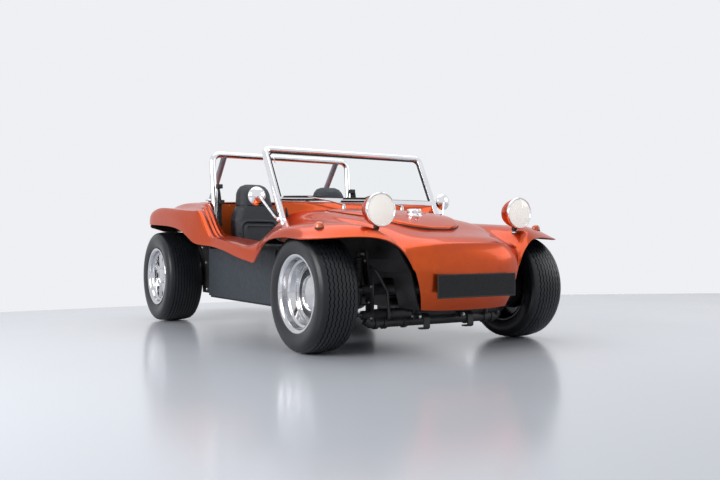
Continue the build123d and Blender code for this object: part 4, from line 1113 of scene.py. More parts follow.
def build_mirror_pair():
    """Round mirrors, each on an arm clamped to a screen post."""
    for side, sign in SIDES:
        centre = car(sign * .700, .705, .857)
        shape = Shape()
        shape.lathe([(-.0262, .0006), (-.0255, .012), (-.0225, .026), (-.0165, .039), (-.0090, .049), (-.0010, .0552),
                     (.0045, .0568), (.0075, .0560), (.0080, .0535)], centre, "Y", 48, 0)
        shape.lathe([(.0080, .0535), (.0078, .0010)], centre, "Y", 48, 2)
        foot = car(sign * .602, .612, .715)
        arm = rounded([foot, foot + vec(sign * .022, .002, .012), centre + vec(-sign * .012, -.024, -.012),
                       centre + vec(0, -.018, -.002)], [.012, .012])
        shape.tube(arm, [.0095] + [.0072] * (len(arm) - 2) + [.0058], 12, 0)
        knuckle = foot + (centre - foot) * .28
        way = (centre - foot).normalized()
        shape.tube([knuckle - way * .012, knuckle - way * .009, knuckle + way * .009, knuckle + way * .012],
                   [.010, .0135, .0135, .010], 12, 1)
        shape.tube([foot - vec(sign * .008, 0, 0), foot + vec(sign * .010, 0, 0),
                    foot + vec(sign * .014, 0, 0)], [.015, .015, .010], 16, 0)
        piece(shape.mesh(f"mirror_{side}"), "chrome rubber_black mirror_glass", "chrome", "mirrors")


def build_wiper_pair():
    """Wipers on the cowl: pivot, arm, blade with its three clips, and rubber edge."""
    shape = Shape()
    for pivot_x, tip_x in ((-.160, -.360), (.280, .060)):
        pivot = car(pivot_x, .596, .800)
        shape.lathe([(-.020, .0125), (.004, .0125), (.008, .010), (.016, .009), (.019, .006), (.019, .0008)], pivot,
                    "Z", 16, 1)
        tip_x -= .045
        tip = on_screen(tip_x, .178, .034)
        start = pivot + vec(0, 0, .012)
        along = tip - start
        arm = [start, start + along * .35 + vec(0, 0, .006), start + along * .9, tip]
        shape.tube(arm, [.0062, .0058, .0042, .0040], 8, 1)
        blade = [on_screen(tip_x + x, .176 + x * .027, .031 + .004 * (1 - (x / .15) ** 2))
                 for x in np.linspace(-.15, .15, 9)]
        shape.tube(blade, .0048, 6, 0)
        edge = [on_screen(tip_x + x, .176 + x * .027, .022) for x in np.linspace(-.152, .152, 5)]
        shape.tube(edge, .0026, 6, 0)
        for x in (-.09, 0, .09):
            shape.tube([on_screen(tip_x + x, .176 + x * .027, .035), on_screen(tip_x + x, .176 + x * .027, .023)],
                       .0030, 6, 0)
    piece(shape.mesh("wiper_pair", angle=45), "rubber_black zinc", "wiper_black", "wipers")


BULKHEAD_Y, HOOP_X, HOOP_TOP_X, HOOP_TOP_Z, BRACE_X = 1.775, .552, .566, 1.215, .470
HOOP_FOOT_Y = 1.675


def build_roll_bar():
    """The hoop behind the seats on its two pads, and the braces down to the rear deck."""
    shape = Shape()
    hoop = [car(-HOOP_X, HOOP_FOOT_Y, .2155), car(-HOOP_TOP_X, BULKHEAD_Y + .008, HOOP_TOP_Z),
            car(HOOP_TOP_X, BULKHEAD_Y + .008, HOOP_TOP_Z), car(HOOP_X, HOOP_FOOT_Y, .2155)]
    shape.tube(rounded(hoop, .062, 12), .023, 28)
    for sign in (-1, 1):
        top, foot = car(sign * BRACE_X, BULKHEAD_Y + .003, 1.212), car(sign * BRACE_X, 2.052, .880)
        shape.tube([top, foot], .021, 24, 1)
        shape.lathe([(-.002, .0445), (.006, .0445), (.010, .040), (.010, .024)], foot + vec(0, -.012, .014), "Z",
                    32)
        pad_ends = [car(sign * HOOP_X, HOOP_FOOT_Y, .2156), car(sign * HOOP_X, HOOP_FOOT_Y + .001, .224)]
        shape.tube(pad_ends, .050, 32)
    piece(shape.mesh("roll_hoop"), "chrome brace_steel", "chrome", "roll_bar")


def build_belts():
    """A belt down each hoop leg, with its reel, guide and buckle."""
    foot_y = HOOP_FOOT_Y
    for side, sign in SIDES:
        shape = Shape()
        centre_x = sign * HOOP_X
        line = [(foot_y + .004, .978), (foot_y - .008, .93), (foot_y - .016, .86), (foot_y - .020, .78),
                (foot_y - .026, .66), (foot_y - .034, .55), (foot_y - .040, .484)]
        rows = [[car(centre_x + sign * .006 + x * math.cos(turn), y - .004 - sign * x * math.sin(turn), z)
                 for x in np.linspace(-.021, .021, 7)]
                for (y, z), turn in zip(line, (.9, .7, .35, .5, .7, .5, .2))]
        shape.grid([row + [p + vec(0, .0028, 0) for p in row[::-1]] for row in rows], 0, wrap=True)
        low, high = sorted((centre_x - sign * .028, sign * .587))
        shape.block(car(low, foot_y - .063, .400), car(high, foot_y - .023, .484), 1)
        shape.block(car(centre_x - .020, foot_y - .016, .962), car(centre_x + .020, foot_y + .020, .992), 1)
        shape.block(car(centre_x - .017, foot_y - .034, .850), car(centre_x + .026, foot_y - .010, .880), 1)
        shape.tube([car(centre_x - sign * .004, foot_y + .012, .98), car(centre_x - sign * .010, foot_y - .020, .70)],
                   .0040, 8, 1)
        obj = piece(shape.mesh(f"belt_{side}", angle=35), "webbing black_trim", "webbing", "seat_belts")
        bevelled(obj, .0035, 3)


def build_filler():
    """The flip-up filler cap with its hinge and catch."""
    centre = car(0, .069, .735)
    shape = Shape()
    shape.lathe([(-.012, .0485), (.000, .0485), (.003, .0465), (.004, .0420), (.016, .0415), (.018, .0420),
                 (.031, .0418), (.0345, .0400), (.0362, .0360), (.0368, .0200), (.0370, .0008)], centre, "Z", 48)
    shape.block(centre + vec(-.009, -.052, .012), centre + vec(.009, -.036, .036))
    shape.block(centre + vec(-.012, .038, .014), centre + vec(.012, .052, .034))
    obj = piece(shape.mesh("flip_cap"), "chrome", "chrome", "filler_cap")
    bevelled(obj, .0016, 2)


def build_plate():
    """The blank number plate in its thin rim, on its bracket."""
    shape = Shape()
    front, low, high = -.500, .295, .417
    outer = [(-.26, low), (.26, low), (.26, high), (-.26, high)]
    rows = []
    for inset, depth in ((0, .0055), (0, .0010), (.0012, 0), (.0060, 0), (.0072, .0012)):
        rows.append([car(math.copysign(abs(x) - inset, x), front + depth,
                         z + (inset if z == low else -inset)) for x, z in outer])
    shape.grid(rows, 1, wrap=True)
    shape.add(rows[-1], [(0, 1, 2, 3)], 0)
    shape.add(rows[0], [(3, 2, 1, 0)], 0)
    shape.block(car(-.150, -.4945, .335), car(.150, -.474, .389), 0)
    piece(shape.mesh("plate", angle=30), "plate_black plate_rim", "plate_black", "number_plate")


def build_signals():
    """Indicators on the fenders and lamps on the tail."""
    for side, sign in SIDES:
        centre = car(sign * .745, -.150, .648)
        shape = Shape()
        shape.lathe([(-.012, .0265), (.005, .0262), (.007, .0245)], centre, "Z", 32, 1)
        shape.lathe([(.006, .0250), (.020, .0240), (.028, .0205), (.0335, .0140), (.0360, .0070), (.0364, .0005)],
                    centre, "Z", 32)
        piece(shape.mesh(f"indicator_{side}", angle=50), "amber rubber_black", "amber", "indicators")
        tail = car(sign * .705, 2.450, .724)
        lamp = Shape()
        lamp.lathe([(-.002, .0335), (.010, .0330), (.013, .0300)], tail, "Y", 32, 1)
        lamp.lathe([(.011, .0300), (.028, .0275), (.0345, .0220), (.0372, .0120), (.0376, .0005)], tail, "Y", 32)
        piece(lamp.mesh(f"tail_lamp_{side}", angle=50), "red_lens chrome", "red_lens", "tail_lamps")


def build_fittings():
    for side, sign in SIDES:
        build_lamp(side, sign)
    build_screen()
    build_mirror_pair()
    build_wiper_pair()
    build_roll_bar()
    build_belts()
    build_filler()
    build_plate()
    build_signals()


# ---------------------------------------------------------------- seats and cabin


# Backrest from its foot up: z, y of the front, y of the back, half width.
BACK_ROWS = [(.315, 1.478, 1.530, .150), (.36, 1.470, 1.552, .166), (.44, 1.474, 1.580, .184),
             (.54, 1.488, 1.606, .192), (.64, 1.508, 1.630, .193), (.73, 1.529, 1.652, .189),
             (.80, 1.545, 1.666, .168), (.84, 1.554, 1.675, .142), (.89, 1.566, 1.681, .134),
             (.935, 1.580, 1.683, .127), (.965, 1.591, 1.681, .114), (.990, 1.603, 1.676, .092),
             (1.004, 1.617, 1.666, .058)]
# Cushion from its front to its back: y, z of the underside, z of the top, half width.
CUSHION_ROWS = [(1.003, .345, .400, .150), (1.008, .305, .424, .178), (1.030, .286, .440, .188),
                (1.075, .282, .446, .191), (1.20, .282, .438, .192), (1.34, .282, .428, .192),
                (1.43, .282, .420, .190), (1.462, .290, .412, .180)]
SEAT_X, SEAM_Z = .312, .836
# How the pads swell: the cloth's pressure and its frames.
PAD_PRESSURE, PAD_FRAMES = 4.0, 20


def ring_of(half, low, high, count=40, square=4.2):
    """A rounded oblong: points (x, y) with x to half each way and y from low to high."""
    ring = []
    for n in range(count):
        c, s = math.cos(n * TAU / count), math.sin(n * TAU / count)
        ring.append((half * math.copysign(abs(c) ** (2 / square), c),
                     (low + high) / 2 + (high - low) / 2 * math.copysign(abs(s) ** (2 / square), s)))
    return ring


def closed_loft(rings):
    """A skin through rings of points, closed at both ends."""
    shape = Shape()
    shape.grid(rings, wrap=True)
    count = len(rings[0])
    for ring, order in ((rings[0], -1), (rings[-1], 1)):
        centre = sum(ring, Vector()) / count
        shape.add(ring + [centre], [(i, (i + 1) % count, count)[::order] for i in range(count)])
    return shape


def swollen(obj, cap):
    """Swells a remeshed pad by cloth under pressure, no point moving further than cap."""
    before = np.empty(len(obj.data.vertices) * 3)
    obj.data.vertices.foreach_get("co", before)
    cloth = modify(obj, "CLOTH").settings
    cloth.use_pressure, cloth.uniform_pressure_force, cloth.quality = True, PAD_PRESSURE, 4
    cloth.effector_weights.gravity = 0
    for number in range(1, PAD_FRAMES + 1):
        bpy.context.scene.frame_set(number)
    evaluated(obj)
    bpy.context.scene.frame_set(1)
    after = np.empty(len(before))
    obj.data.vertices.foreach_get("co", after)
    step = (after - before).reshape(-1, 3)
    far = np.linalg.norm(step, axis=1, keepdims=True)
    step *= np.minimum(1, cap / np.maximum(far, 1e-9))
    obj.data.vertices.foreach_set("co", (before.reshape(-1, 3) + step).ravel())


def grooved(obj, depth_at):
    """Presses sewn channels into a pad: depth_at(point) in metres, along each point's normal."""
    normals = [v.normal.copy() for v in obj.data.vertices]
    moved = [v.co - n * depth_at(v.co, n) for v, n in zip(obj.data.vertices, normals)]
    obj.data.vertices.foreach_set("co", [c for p in moved for c in p])
    obj.data.update()


def pad(name, shape, depth_at):
    """A padded piece: remeshed, swollen, grooved and smoothed."""
    obj = linked(name, shape.mesh(name, weld=.0005))
    modify(obj, "REMESH", mode="VOXEL", voxel_size=.0066)
    evaluated(obj)
    swollen(obj, size("swell"))
    grooved(obj, depth_at)
    levels = 1
    modify(obj, "SUBSURF", levels=levels, render_levels=levels)
    evaluated(obj)
    obj.data.name = name
    obj.data.shade_smooth()
    return obj


def ridge(distance, width):
    """1 on a line, falling softly to 0 a few widths away from it."""
    return math.exp(-(distance / width) ** 2)


def box_distance(u, v, half_u, low, high, corner):
    """Distance of (u, v) from a rounded oblong's outline."""
    qu = abs(u) - (half_u - corner)
    qv = abs(v - (low + high) / 2) - ((high - low) / 2 - corner)
    return abs(math.hypot(max(qu, 0), max(qv, 0)) + min(max(qu, qv), 0) - corner)


def back_grooves(point, normal):
    """Depth of the head seam all round and of the panel's seam on the front, with its rolled edge."""
    x, z = point.x + SEAT_X, point.z
    depth = .0052 * ridge(z - SEAM_Z, .0055)
    if normal.y < -.2:
        border = box_distance(x, z, .124, .42, .712, .040)
        depth += .0080 * ridge(border, .008) - .0040 * ridge(border - .015, .008)
    return depth


def cushion_grooves(point, normal):
    """Depth of the side seam, of the top panel's seam and of its four rolls."""
    x, y, z = point.x + SEAT_X, point.y - AXLE_Y, point.z
    depth = .0045 * ridge(z - .405, .005) * (1 if abs(normal.z) < .6 else 0)
    if normal.z > .2:
        border = box_distance(x, y, .120, 1.06, 1.46, .04)
        depth += .0058 * ridge(border, .006) - .0030 * ridge(border - .013, .007)
        if abs(x) < .10 and 1.09 < y < 1.45:
            depth += .0024 * ridge((x + .5) % .04 - .02, .005)
    return depth


def mirrored_copy(obj, name):
    """The object's mirror image across the car's middle."""
    data = obj.data.copy()
    data.name = name
    data.transform(Matrix.Scale(-1, 4, (1, 0, 0)))
    data.flip_normals()
    return linked(name, data)


def build_seats():
    """Padded backs and cushions, the left ones mirrored from the right ones, with stitches along the seam."""
    back = []
    for z, front, rear, half in BACK_ROWS:
        ring = []
        for x, y in ring_of(half, front, rear):
            edge = (abs(x) / half) ** 3 * max(0, 1 - abs(z - .62) / .25)
            ring.append(car(x - SEAT_X, y - .018 * edge * (y < (front + rear) / 2), z))
        back.append(ring)
    cushion = []
    for y, low, high, half in CUSHION_ROWS:
        ring = []
        for x, z in ring_of(half, low, high):
            narrow = .86 if z < .36 else 1.0
            edge = (abs(x) / half) ** 3
            ring.append(car(x * narrow - SEAT_X, y, z + (.012 * edge if z > (low + high) / 2 else 0)))
        cushion.append(ring)
    pads = [("seat_back", pad("seat_back_right", closed_loft(back), back_grooves)),
            ("seat_cushion", pad("seat_cushion_right", closed_loft(cushion), cushion_grooves))]
    for name, obj in pads:
        for made, side in ((obj, "right"), (mirrored_copy(obj, name + "_left"), "left")):
            made.data.materials.append(FINISHES["seat_vinyl"])
            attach(made, "root")
            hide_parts(f"seat_{side}")
    stitch = Shape()
    stitch.lathe([(-.0042, .0002), (-.0034, .0008), (.0034, .0008), (.0042, .0002)], ORIGIN, "Z", 6)
    for side, sign in SIDES:
        surface = BVHTree.FromObject(bpy.data.objects[f"seat_back_{side}"], bpy.context.evaluated_depsgraph_get())
        places = []
        for n in range(29):
            for z in (SEAM_Z + .009, SEAM_Z - .009):
                start = car(sign * SEAT_X - .133 + .266 * n / 28, 1.45, z)
                hit, normal = surface.ray_cast(start, vec(0, 1, 0))[:2]
                if hit:
                    places.append((hit + normal * .0002, (1, 0, 0)))
        copies(f"seat_stitches_{side}", stitch, places, "webbing")


DASH = (.520, .684, .628, .764)
STEER = vec(.338, 1.090, .742)
COLUMN_WAY = vec(0, math.cos(math.radians(27)), math.sin(math.radians(27)))


def build_dashboard():
    """The padded panel with a speedometer, three gauges and a row of knobs."""
    half, front, low, high = DASH
    shape = Shape()
    rows = []
    for n in range(33):
        x = -half + 2 * half * n / 32
        rows.append([car(x, y, z) for y, z in (
            (front, low + .004), (front + .004, low), (front + .011, low + .002), (front + .0125, low + .010),
            (front + .0125, high - .022), (front + .022, high - .020), (front + .034, high - .010),
            (front + .036, high - .001), (front + .028, high + .006), (front + .012, high + .006),
            (front, high - .002))])
    shape.grid(rows, wrap=True)
    count = len(rows[0])
    shape.add(rows[0], [tuple(range(count))])
    shape.add(rows[-1], [tuple(range(count))[::-1]])
    for x, radius in ((.338, .050), (.210, .030), (.445, .030), (0, .030)):
        centre = car(x, front + .0125, .698)
        shape.lathe([(0, radius), (.005, radius), (.0075, radius - .002), (.0075, radius - .004),
                     (.003, radius - .005)], centre, "Y", 40, 1)
        shape.lathe([(.003, radius - .005), (.0028, .0005)], centre, "Y", 40, 2)
        pointer = Euler((0, math.radians(-40 + x * 200), 0)).to_matrix()
        shape.block(centre + vec(-.0010, .0035, -.002), centre + vec(.0010, .0045, radius * .7), 3, pointer)
        for n in range(11):
            a = math.radians(-135 + 27 * n)
            mark = centre + vec(math.sin(a) * (radius - .009), .0036, math.cos(a) * (radius - .009))
            shape.block(mark - vec(.0007, .0004, .0025), mark + vec(.0007, .0004, .0025), 3,
                        Euler((0, a, 0)).to_matrix())
    for x in (-.12, -.07, -.02, .05, .10, .15):
        shape.lathe([(0, .009), (.004, .009), (.004, .0045), (.018, .004), (.020, .0055), (.026, .0055),
                     (.027, .0005)], car(x, front + .0125, .655), "Y", 16, 1)
    piece(shape.mesh("dashboard_trim"), "black_trim chrome dial_face plate_rim", "black_trim", "dashboard")


def build_steering_wheel():
    """A gripped rim, three flat spokes and a hub, square to the column."""
    across = vec(1, 0, 0)
    upward = across.cross(COLUMN_WAY).normalized() * -1

    def spot(radius, angle, along=0.0):
        return car(*STEER) + across * radius * math.cos(angle) + upward * radius * math.sin(angle) + COLUMN_WAY * along

    shape, thick = Shape(), size("grip")
    rows = []
    for n in range(96):
        a = n * TAU / 96
        grip = thick + .0008 * math.cos(24 * a)
        rows.append([spot(.172 + grip * math.cos(b), a, grip * math.sin(b)) for b in (k * TAU / 14 for k in range(14))])
    shape.grid(rows, 0, wrap=True, loop=True)
    for turn in (0, 120, 240):
        a = math.radians(turn - 90)
        outline = [(.022, .016), (.060, .013), (.110, .011), (.163, .013)]
        sides = []
        for radius, half in outline:
            sides.append([spot(radius, a + math.asin(k * half / radius), -.004 + depth)
                          for k, depth in ((-1, -.002), (-1, .002), (-.6, .0035), (.6, .0035), (1, .002), (1, -.002))])
        shape.grid(sides, 1, wrap=True)
    for profile, finish_number in (([(-.030, .018), (-.026, .031), (-.004, .034), (.004, .032)], 0),
                                   ([(.004, .032), (.009, .026), (.011, .014), (.0115, .0005)], 1)):
        shape.grid([[spot(radius, n * TAU / 32, along - .004) for n in range(32)] for along, radius in profile],
                   finish_number, wrap=True)
    piece(shape.mesh("steering_wheel_finished"), "black_trim wheel_chrome", "wheel_rim", "steering_wheel",
          body="steering_wheel")


def build_levers():
    """The gear lever with its gaiter, and the handbrake."""
    shape = Shape()
    foot = car(0, .900, .355)
    shape.lathe([(.0005, .034), (.004, .034), (.010, .030), (.012, .032), (.018, .027), (.020, .029), (.026, .023),
                 (.028, .025), (.034, .018), (.040, .0085)], foot, "Z", 32, 0)
    shape.tube([foot + vec(0, .002, .010), foot + vec(0, .018, .110), foot + vec(0, .040, .235)],
               [.0085, .0075, .0070], 16, 1)
    shape.lathe([(-.024, .0005), (-.022, .009), (-.014, .0195), (-.002, .024), (.010, .0215), (.020, .013),
                 (.024, .0005)], foot + vec(0, .042, .251), "Z", 32, 2)
    piece(shape.mesh("gear_lever_finished", angle=45), "rubber_black chrome black_trim", "black_steel",
          "gear_lever")
    shape = Shape()
    start, end = car(0, 1.120, .375), car(0, .980, .470)
    shape.tube([start, start + (end - start) * .35, start + (end - start) * .45, end - (end - start) * .03, end],
               [.0075, .0075, .0115, .0120, .0085], 20, 0)
    shape.tube([end, end + (end - start).normalized() * .009], [.0050, .0042], 12, 1)
    shape.block(car(-.013, 1.090, .3555), car(.013, 1.158, .386), 2)
    piece(shape.mesh("handbrake_finished", angle=45), "rubber_black chrome black_steel", "black_steel",
          "handbrake")


def build_panel_bolts():
    """Bolts on the return behind each side panel."""
    places = [(car(sign * .645, 1.5085, z), (0, 1, 0)) for sign in (-1, 1) for z in (.26, .34, .42, .50)]
    copies("panel_bolts", bolt_head(.0055, .006), places, "zinc", turn=TAU)


def build_cabin():
    build_seats()
    build_dashboard()
    build_steering_wheel()
    build_levers()
    build_panel_bolts()


# ---------------------------------------------------------------- suspension and engine details


def build_shocks():
    """The front dampers: body, dust cover with its bellows, rod, eye and bush."""
    shape = Shape()
    for sign in (-1, 1):
        foot = car(sign * .462, -.064, .241)
        shape.lathe([(0, .0005), (0, .017), (.006, .0205), (.118, .0205), (.121, .0235), (.124, .0235)], foot, "Z", 32)
        bellows = []
        for n in range(9):
            bellows += [(.126 + .014 * n, .0238), (.133 + .014 * n, .0205)]
        shape.lathe(bellows + [(.254, .0238), (.259, .0150), (.259, .0088), (.280, .0085), (.288, .0005)], foot, "Z",
                    32, 1)
        eye = foot + vec(0, 0, .279)
        shape.lathe([(-.010, .004), (-.010, .0088), (.010, .0088), (.010, .004)], eye, "X", 24, 0)
        shape.tube([eye, eye - vec(sign * .0245, 0, 0)], .0085, 16, 2)
        shape.lathe([(-.012, .0130), (-.006, .0135), (-.006, .0005)], foot + vec(0, 0, .005), "X", 24, 2)
    piece(shape.mesh("front_dampers"), "black_steel rubber_black zinc", "black_steel", "front_shocks")


def build_front_stays():
    """Bent stays in front of the beam, the hooks, the banded tube under it, and the beam without its lugs."""
    shape = Shape()
    for sign in (-1, 1):
        path = rounded([car(sign * .428, -.126, .452), car(sign * .414, -.172, .425), car(sign * .345, -.172, .318),
                        car(sign * .336, -.172, .176), car(sign * .336, -.150, .170)], [.02, .03, .012])
        shape.tube(path, .0095, 16)
        shape.tube([car(sign * .122, -.130, .195), car(sign * .178, -.130, .195)], .0315, 32)
        hook = rounded([car(sign * .150, -.150, .182), car(sign * .150, -.232, .196), car(sign * .150, -.254, .180),
                        car(sign * .150, -.258, .118), car(sign * .150, -.204, .116)], [.012, .012, .014])
        rows = []
        for n, point in enumerate(hook):
            lift = way_at(hook, n).cross(vec(1, 0, 0)).normalized() * .0045
            rows.append([point + vec(x, 0, 0) + lift * k for x, k in ((-.019, -1), (.019, -1), (.019, 1), (-.019, 1))])
        shape.grid(rows, wrap=True)
        shape.add(rows[0], [(0, 1, 2, 3)])
        shape.add(rows[-1], [(3, 2, 1, 0)])
    ends = [car(-.455, -.124, .170), car(-.430, -.130, .152), car(.430, -.130, .152), car(.455, -.124, .170)]
    shape.tube(rounded(ends, [.012, .012]), .0280, 24)
    for x in (-.400, -.345, -.215, .215, .345, .400):
        shape.tube([car(x - .012, -.130, .150), car(x - .010, -.130, .150), car(x + .010, -.130, .150),
                    car(x + .012, -.130, .150)], [.029, .0335, .0335, .029], 24)
    piece(shape.mesh("front_stays"), "black_steel")
    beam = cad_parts["front_beam"].data.copy()
    beam.name = "front_beam_finished"
    work = bmesh.new()
    work.from_mesh(beam)
    bmesh.ops.remove_doubles(work, verts=work.verts, dist=.00002)
    lugs = [v for v in work.verts if v.co.z < .160 and abs(abs(v.co.x) - .150) < .03]
    bmesh.ops.delete(work, geom=lugs, context="VERTS")
    work.to_mesh(beam)
    work.free()
    beam.materials.clear()
    beam.set_sharp_from_angle(angle=math.radians(35))
    piece(beam, "black_steel", "black_steel", "front_beam")


SHROUD_FACE_Y, BULKHEAD_FACE_Y = 2.6402, 1.7748


def build_under_bolts():
    """Bolts on the front beam and the rear axle, and rivets along the wall behind the seats."""
    places = []
    for sign in (-1, 1):
        for x in (.430, .165):
            for y, z in ((-.154, .345), (-.106, .345), (-.154, .178), (-.106, .178), (-.130, .262)):
                places.append((car(sign * (x + .006), y, z), (sign, 0, 0)))
        for y, z in ((-.095, .50), (-.078, .535)):
            places.append((car(sign * .437, y, z - .02), (sign, 0, 0)))
        places.append((car(sign * .150, -.1945, .178), (0, -1, 0)))
        for y, z in ((1.875, .540), (1.805, .432), (1.787, .240)):
            places.append((car(sign * .5962, y, z), (sign, 0, 0), 1.5))
    copies("beam_bolts", bolt_head(.0068, .008), places, "zinc", turn=TAU)
    rivets = Shape()
    rivets.lathe([(0, .0045), (.0012, .0042), (.0022, .0028), (.0026, .0002)], ORIGIN, "Z", 10)
    places = []
    for sign in (-1, 1):
        spots = [(.06 + .075 * n, .848) for n in range(7)] + [(.555, .25 + .08 * n) for n in range(8)]
        places += [(car(sign * x, BULKHEAD_FACE_Y, z), (0, -1, 0)) for x, z in spots]
    copies("bulkhead_rivets", rivets, places, "zinc", turn=TAU)


def build_engine_details():
    """Screws along the foot and the sides of the fan shroud."""
    spots = [(x, .455) for x in (-.27, -.18, -.09, 0, .09, .18, .27)]
    spots += [(sign * .285, z) for sign in (-1, 1) for z in (.50, .58, .66)]
    places = [(car(x, SHROUD_FACE_Y, z), (0, 1, 0)) for x, z in spots]
    copies("shroud_screws", bolt_head(.0045, .005), places, "zinc", turn=TAU)


def build_under():
    build_shocks()
    build_front_stays()
    build_under_bolts()
    build_engine_details()


# ---------------------------------------------------------------- solids kept as they are


KEPT = {
    # the wall behind the seats wears the lit copy of the paint, as painted light
    "inner_orange": ["rear_bulkhead"],
    "screen_glass": ["windscreen_glass"],
    "black_steel": ["front_wells", "firewall", "front_knuckle_right", "front_knuckle_left",
                    "tie_rod", "rear_axle", "seat_runners", "steering_column", "pedals",
                    "side_lining_right", "side_lining_left"],
    "panel_slate": ["side_panel_right", "side_panel_left"],
    "floor_mat": ["floor_pan"],
    "cast_alloy": ["engine"],
    "black_tin": ["fan_shroud"],
    "exhaust_steel": ["exhaust"],
}


def dress_solids():
    for name, nodes in KEPT.items():
        for node in nodes:
            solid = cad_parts[node]
            if not solid.hide_render:
                solid.data.materials.clear()
                solid.data.materials.append(FINISHES[name])


# ---------------------------------------------------------------- add-on


TONES = {name: (light, dark) for name, light, dark, *rest in FINISH_TABLE}


def tone(label, says, finish_name, number=0):
    """A colour that the panel offers; a finish wanders in patches between its tones 0 and 1."""
    return bpy.props.FloatVectorProperty(name=label, description=says, default=TONES[finish_name][number], size=3,
                                         min=0, max=1, subtype="COLOR")


def length(label, says, default):
    """A length that the panel offers."""
    return bpy.props.FloatProperty(name=label, description=says, default=default, min=0, precision=4,
                                   subtype="DISTANCE", unit="LENGTH")


class BuggyColours(bpy.types.PropertyGroup):
    """Colours of the main finishes"""

    copper_orange: tone("Paint", "The body's paint", "copper_orange")
    copper_orange_dark: tone("Paint, patches", "The body's paint where it is darkest", "copper_orange", 1)
    # The wall behind the seats: a lighter copy of the paint, as painted light.
    inner_orange: tone("Inner paint", "The wall behind the seats", "inner_orange")
    inner_orange_dark: tone("Inner paint, patches", "The same wall where it is darkest", "inner_orange", 1)
    seat_vinyl: tone("Vinyl", "The seats' covers", "seat_vinyl")
    seat_vinyl_dark: tone("Vinyl, patches", "The seats' covers where they are lightest", "seat_vinyl", 1)
    panel_slate: tone("Side panels", "The panels below the sills", "panel_slate")
    panel_slate_dark: tone("Side panels, patches", "The panels where they are darkest", "panel_slate", 1)
    amber: tone("Indicators", "The lenses on the front fenders", "amber")
    red_lens: tone("Tail lamps", "The lenses at the tail", "red_lens")


class BuggySizes(bpy.types.PropertyGroup):
    """Sizes that don't move a piece from its place"""

    shell: length("Shell", "Thickness of the body's sheets", .005)
    lid: length("Hood lid", "Thickness of the hood lid", .003)
    groove: length("Tread groove", "Depth of the grooves in the tyres", .0085)
    rib: length("Shoulder rib", "Height of the ribs on the tyres' shoulders", .0015)
    front_rim: length("Front rim", "Width of the front rims", .204)
    rear_rim: length("Rear rim", "Width of the rear rims", .242)
    grip: length("Grip", "Radius of the steering wheel's rim", .0118)
    swell: length("Seat swell", "The furthest that the seats' pads swell", .010)


class BuggySettings(bpy.types.PropertyGroup):
    """What a user may change before the buggy is built"""

    colours: bpy.props.PointerProperty(type=BuggyColours, name="Colours", description="Colours of the main finishes")
    sizes: bpy.props.PointerProperty(type=BuggySizes, name="Sizes", description="Sizes of the details")
    with_stage: bpy.props.BoolProperty(name="With stage", description="Adds the camera, the lights and the floor",
                                       default=True)


class BUGGY_OT_finishes(bpy.types.Operator):
    """Makes the materials"""

    bl_idname = "buggy.finishes"
    bl_label = "Finishes"

    def execute(self, context):
        make_finishes()
        return {"FINISHED"}


class BUGGY_OT_bodywork(bpy.types.Operator):
    """Builds the nose, hood, fenders, sills and flutes"""

    bl_idname = "buggy.bodywork"
    bl_label = "Bodywork"

    def execute(self, context):
        build_bodywork()
        return {"FINISHED"}


class BUGGY_OT_wheels(bpy.types.Operator):
    """Builds the tyres and the wheels"""

    bl_idname = "buggy.wheels"
    bl_label = "Wheels"

    def execute(self, context):
        build_wheels()
        return {"FINISHED"}


class BUGGY_OT_fittings(bpy.types.Operator):
    """Builds the lamps, windscreen, mirrors, wipers, roll bar, belts, cap, plate and signals"""

    bl_idname = "buggy.fittings"
    bl_label = "Fittings"

    def execute(self, context):
        build_fittings()
        return {"FINISHED"}


class BUGGY_OT_cabin(bpy.types.Operator):
    """Builds the seats, dashboard, steering wheel and levers"""

    bl_idname = "buggy.cabin"
    bl_label = "Cabin"

    def execute(self, context):
        build_cabin()
        return {"FINISHED"}


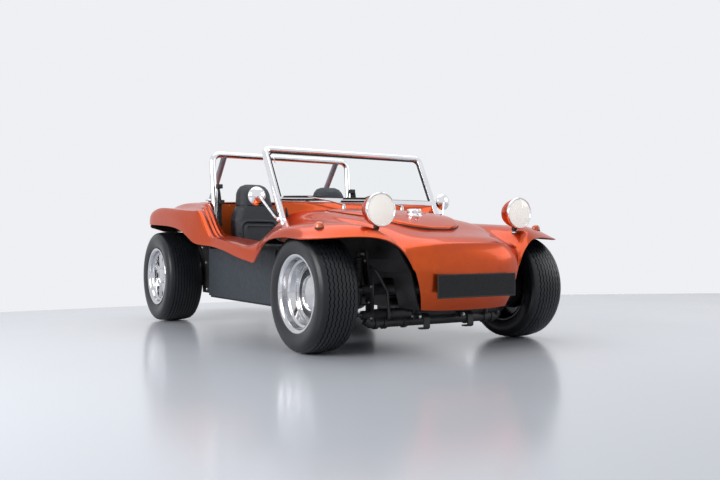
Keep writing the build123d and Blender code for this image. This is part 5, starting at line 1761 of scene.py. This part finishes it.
class BUGGY_OT_underside(bpy.types.Operator):
    """Builds the dampers, stays and fasteners"""

    bl_idname = "buggy.underside"
    bl_label = "Underside"

    def execute(self, context):
        build_under()
        return {"FINISHED"}


class BUGGY_OT_solids(bpy.types.Operator):
    """Gives each kept solid its finish"""

    bl_idname = "buggy.solids"
    bl_label = "Kept solids"

    def execute(self, context):
        dress_solids()
        return {"FINISHED"}


class BUGGY_OT_stage(bpy.types.Operator):
    """Adds the camera, the lights and the floor"""

    bl_idname = "buggy.stage"
    bl_label = "Stage"

    def execute(self, context):
        build_stage()
        return {"FINISHED"}


OPERATORS = (BUGGY_OT_finishes, BUGGY_OT_bodywork, BUGGY_OT_wheels, BUGGY_OT_fittings, BUGGY_OT_cabin,
             BUGGY_OT_underside, BUGGY_OT_solids, BUGGY_OT_stage)


class BUGGY_PT_panel(bpy.types.Panel):
    """Lists the steps that build the buggy"""

    bl_idname = "BUGGY_PT_panel"
    bl_label = "Dune Buggy"
    bl_space_type = "VIEW_3D"
    bl_region_type = "UI"
    bl_category = "Dune Buggy"

    def draw(self, context):
        for operator in OPERATORS:
            self.layout.operator(operator.bl_idname)
        settings = context.scene.buggy
        for group in (settings.colours, settings.sizes):
            for name in group.bl_rna.properties.keys():
                if name not in ("rna_type", "name"):
                    self.layout.prop(group, name)
        self.layout.prop(settings, "with_stage")


CLASSES = (BuggyColours, BuggySizes, BuggySettings, *OPERATORS, BUGGY_PT_panel)


def register():
    for made in CLASSES:
        bpy.utils.register_class(made)
    bpy.types.Scene.buggy = bpy.props.PointerProperty(type=BuggySettings)


def unregister():
    del bpy.types.Scene.buggy
    for made in reversed(CLASSES):
        bpy.utils.unregister_class(made)


def main():
    register()
    bpy.ops.buggy.finishes()
    bpy.ops.buggy.bodywork()
    bpy.ops.buggy.wheels()
    bpy.ops.buggy.fittings()
    bpy.ops.buggy.cabin()
    bpy.ops.buggy.underside()
    bpy.ops.buggy.solids()
    if bpy.context.scene.buggy.with_stage:
        bpy.ops.buggy.stage()


if __name__ == "__main__":
    main()
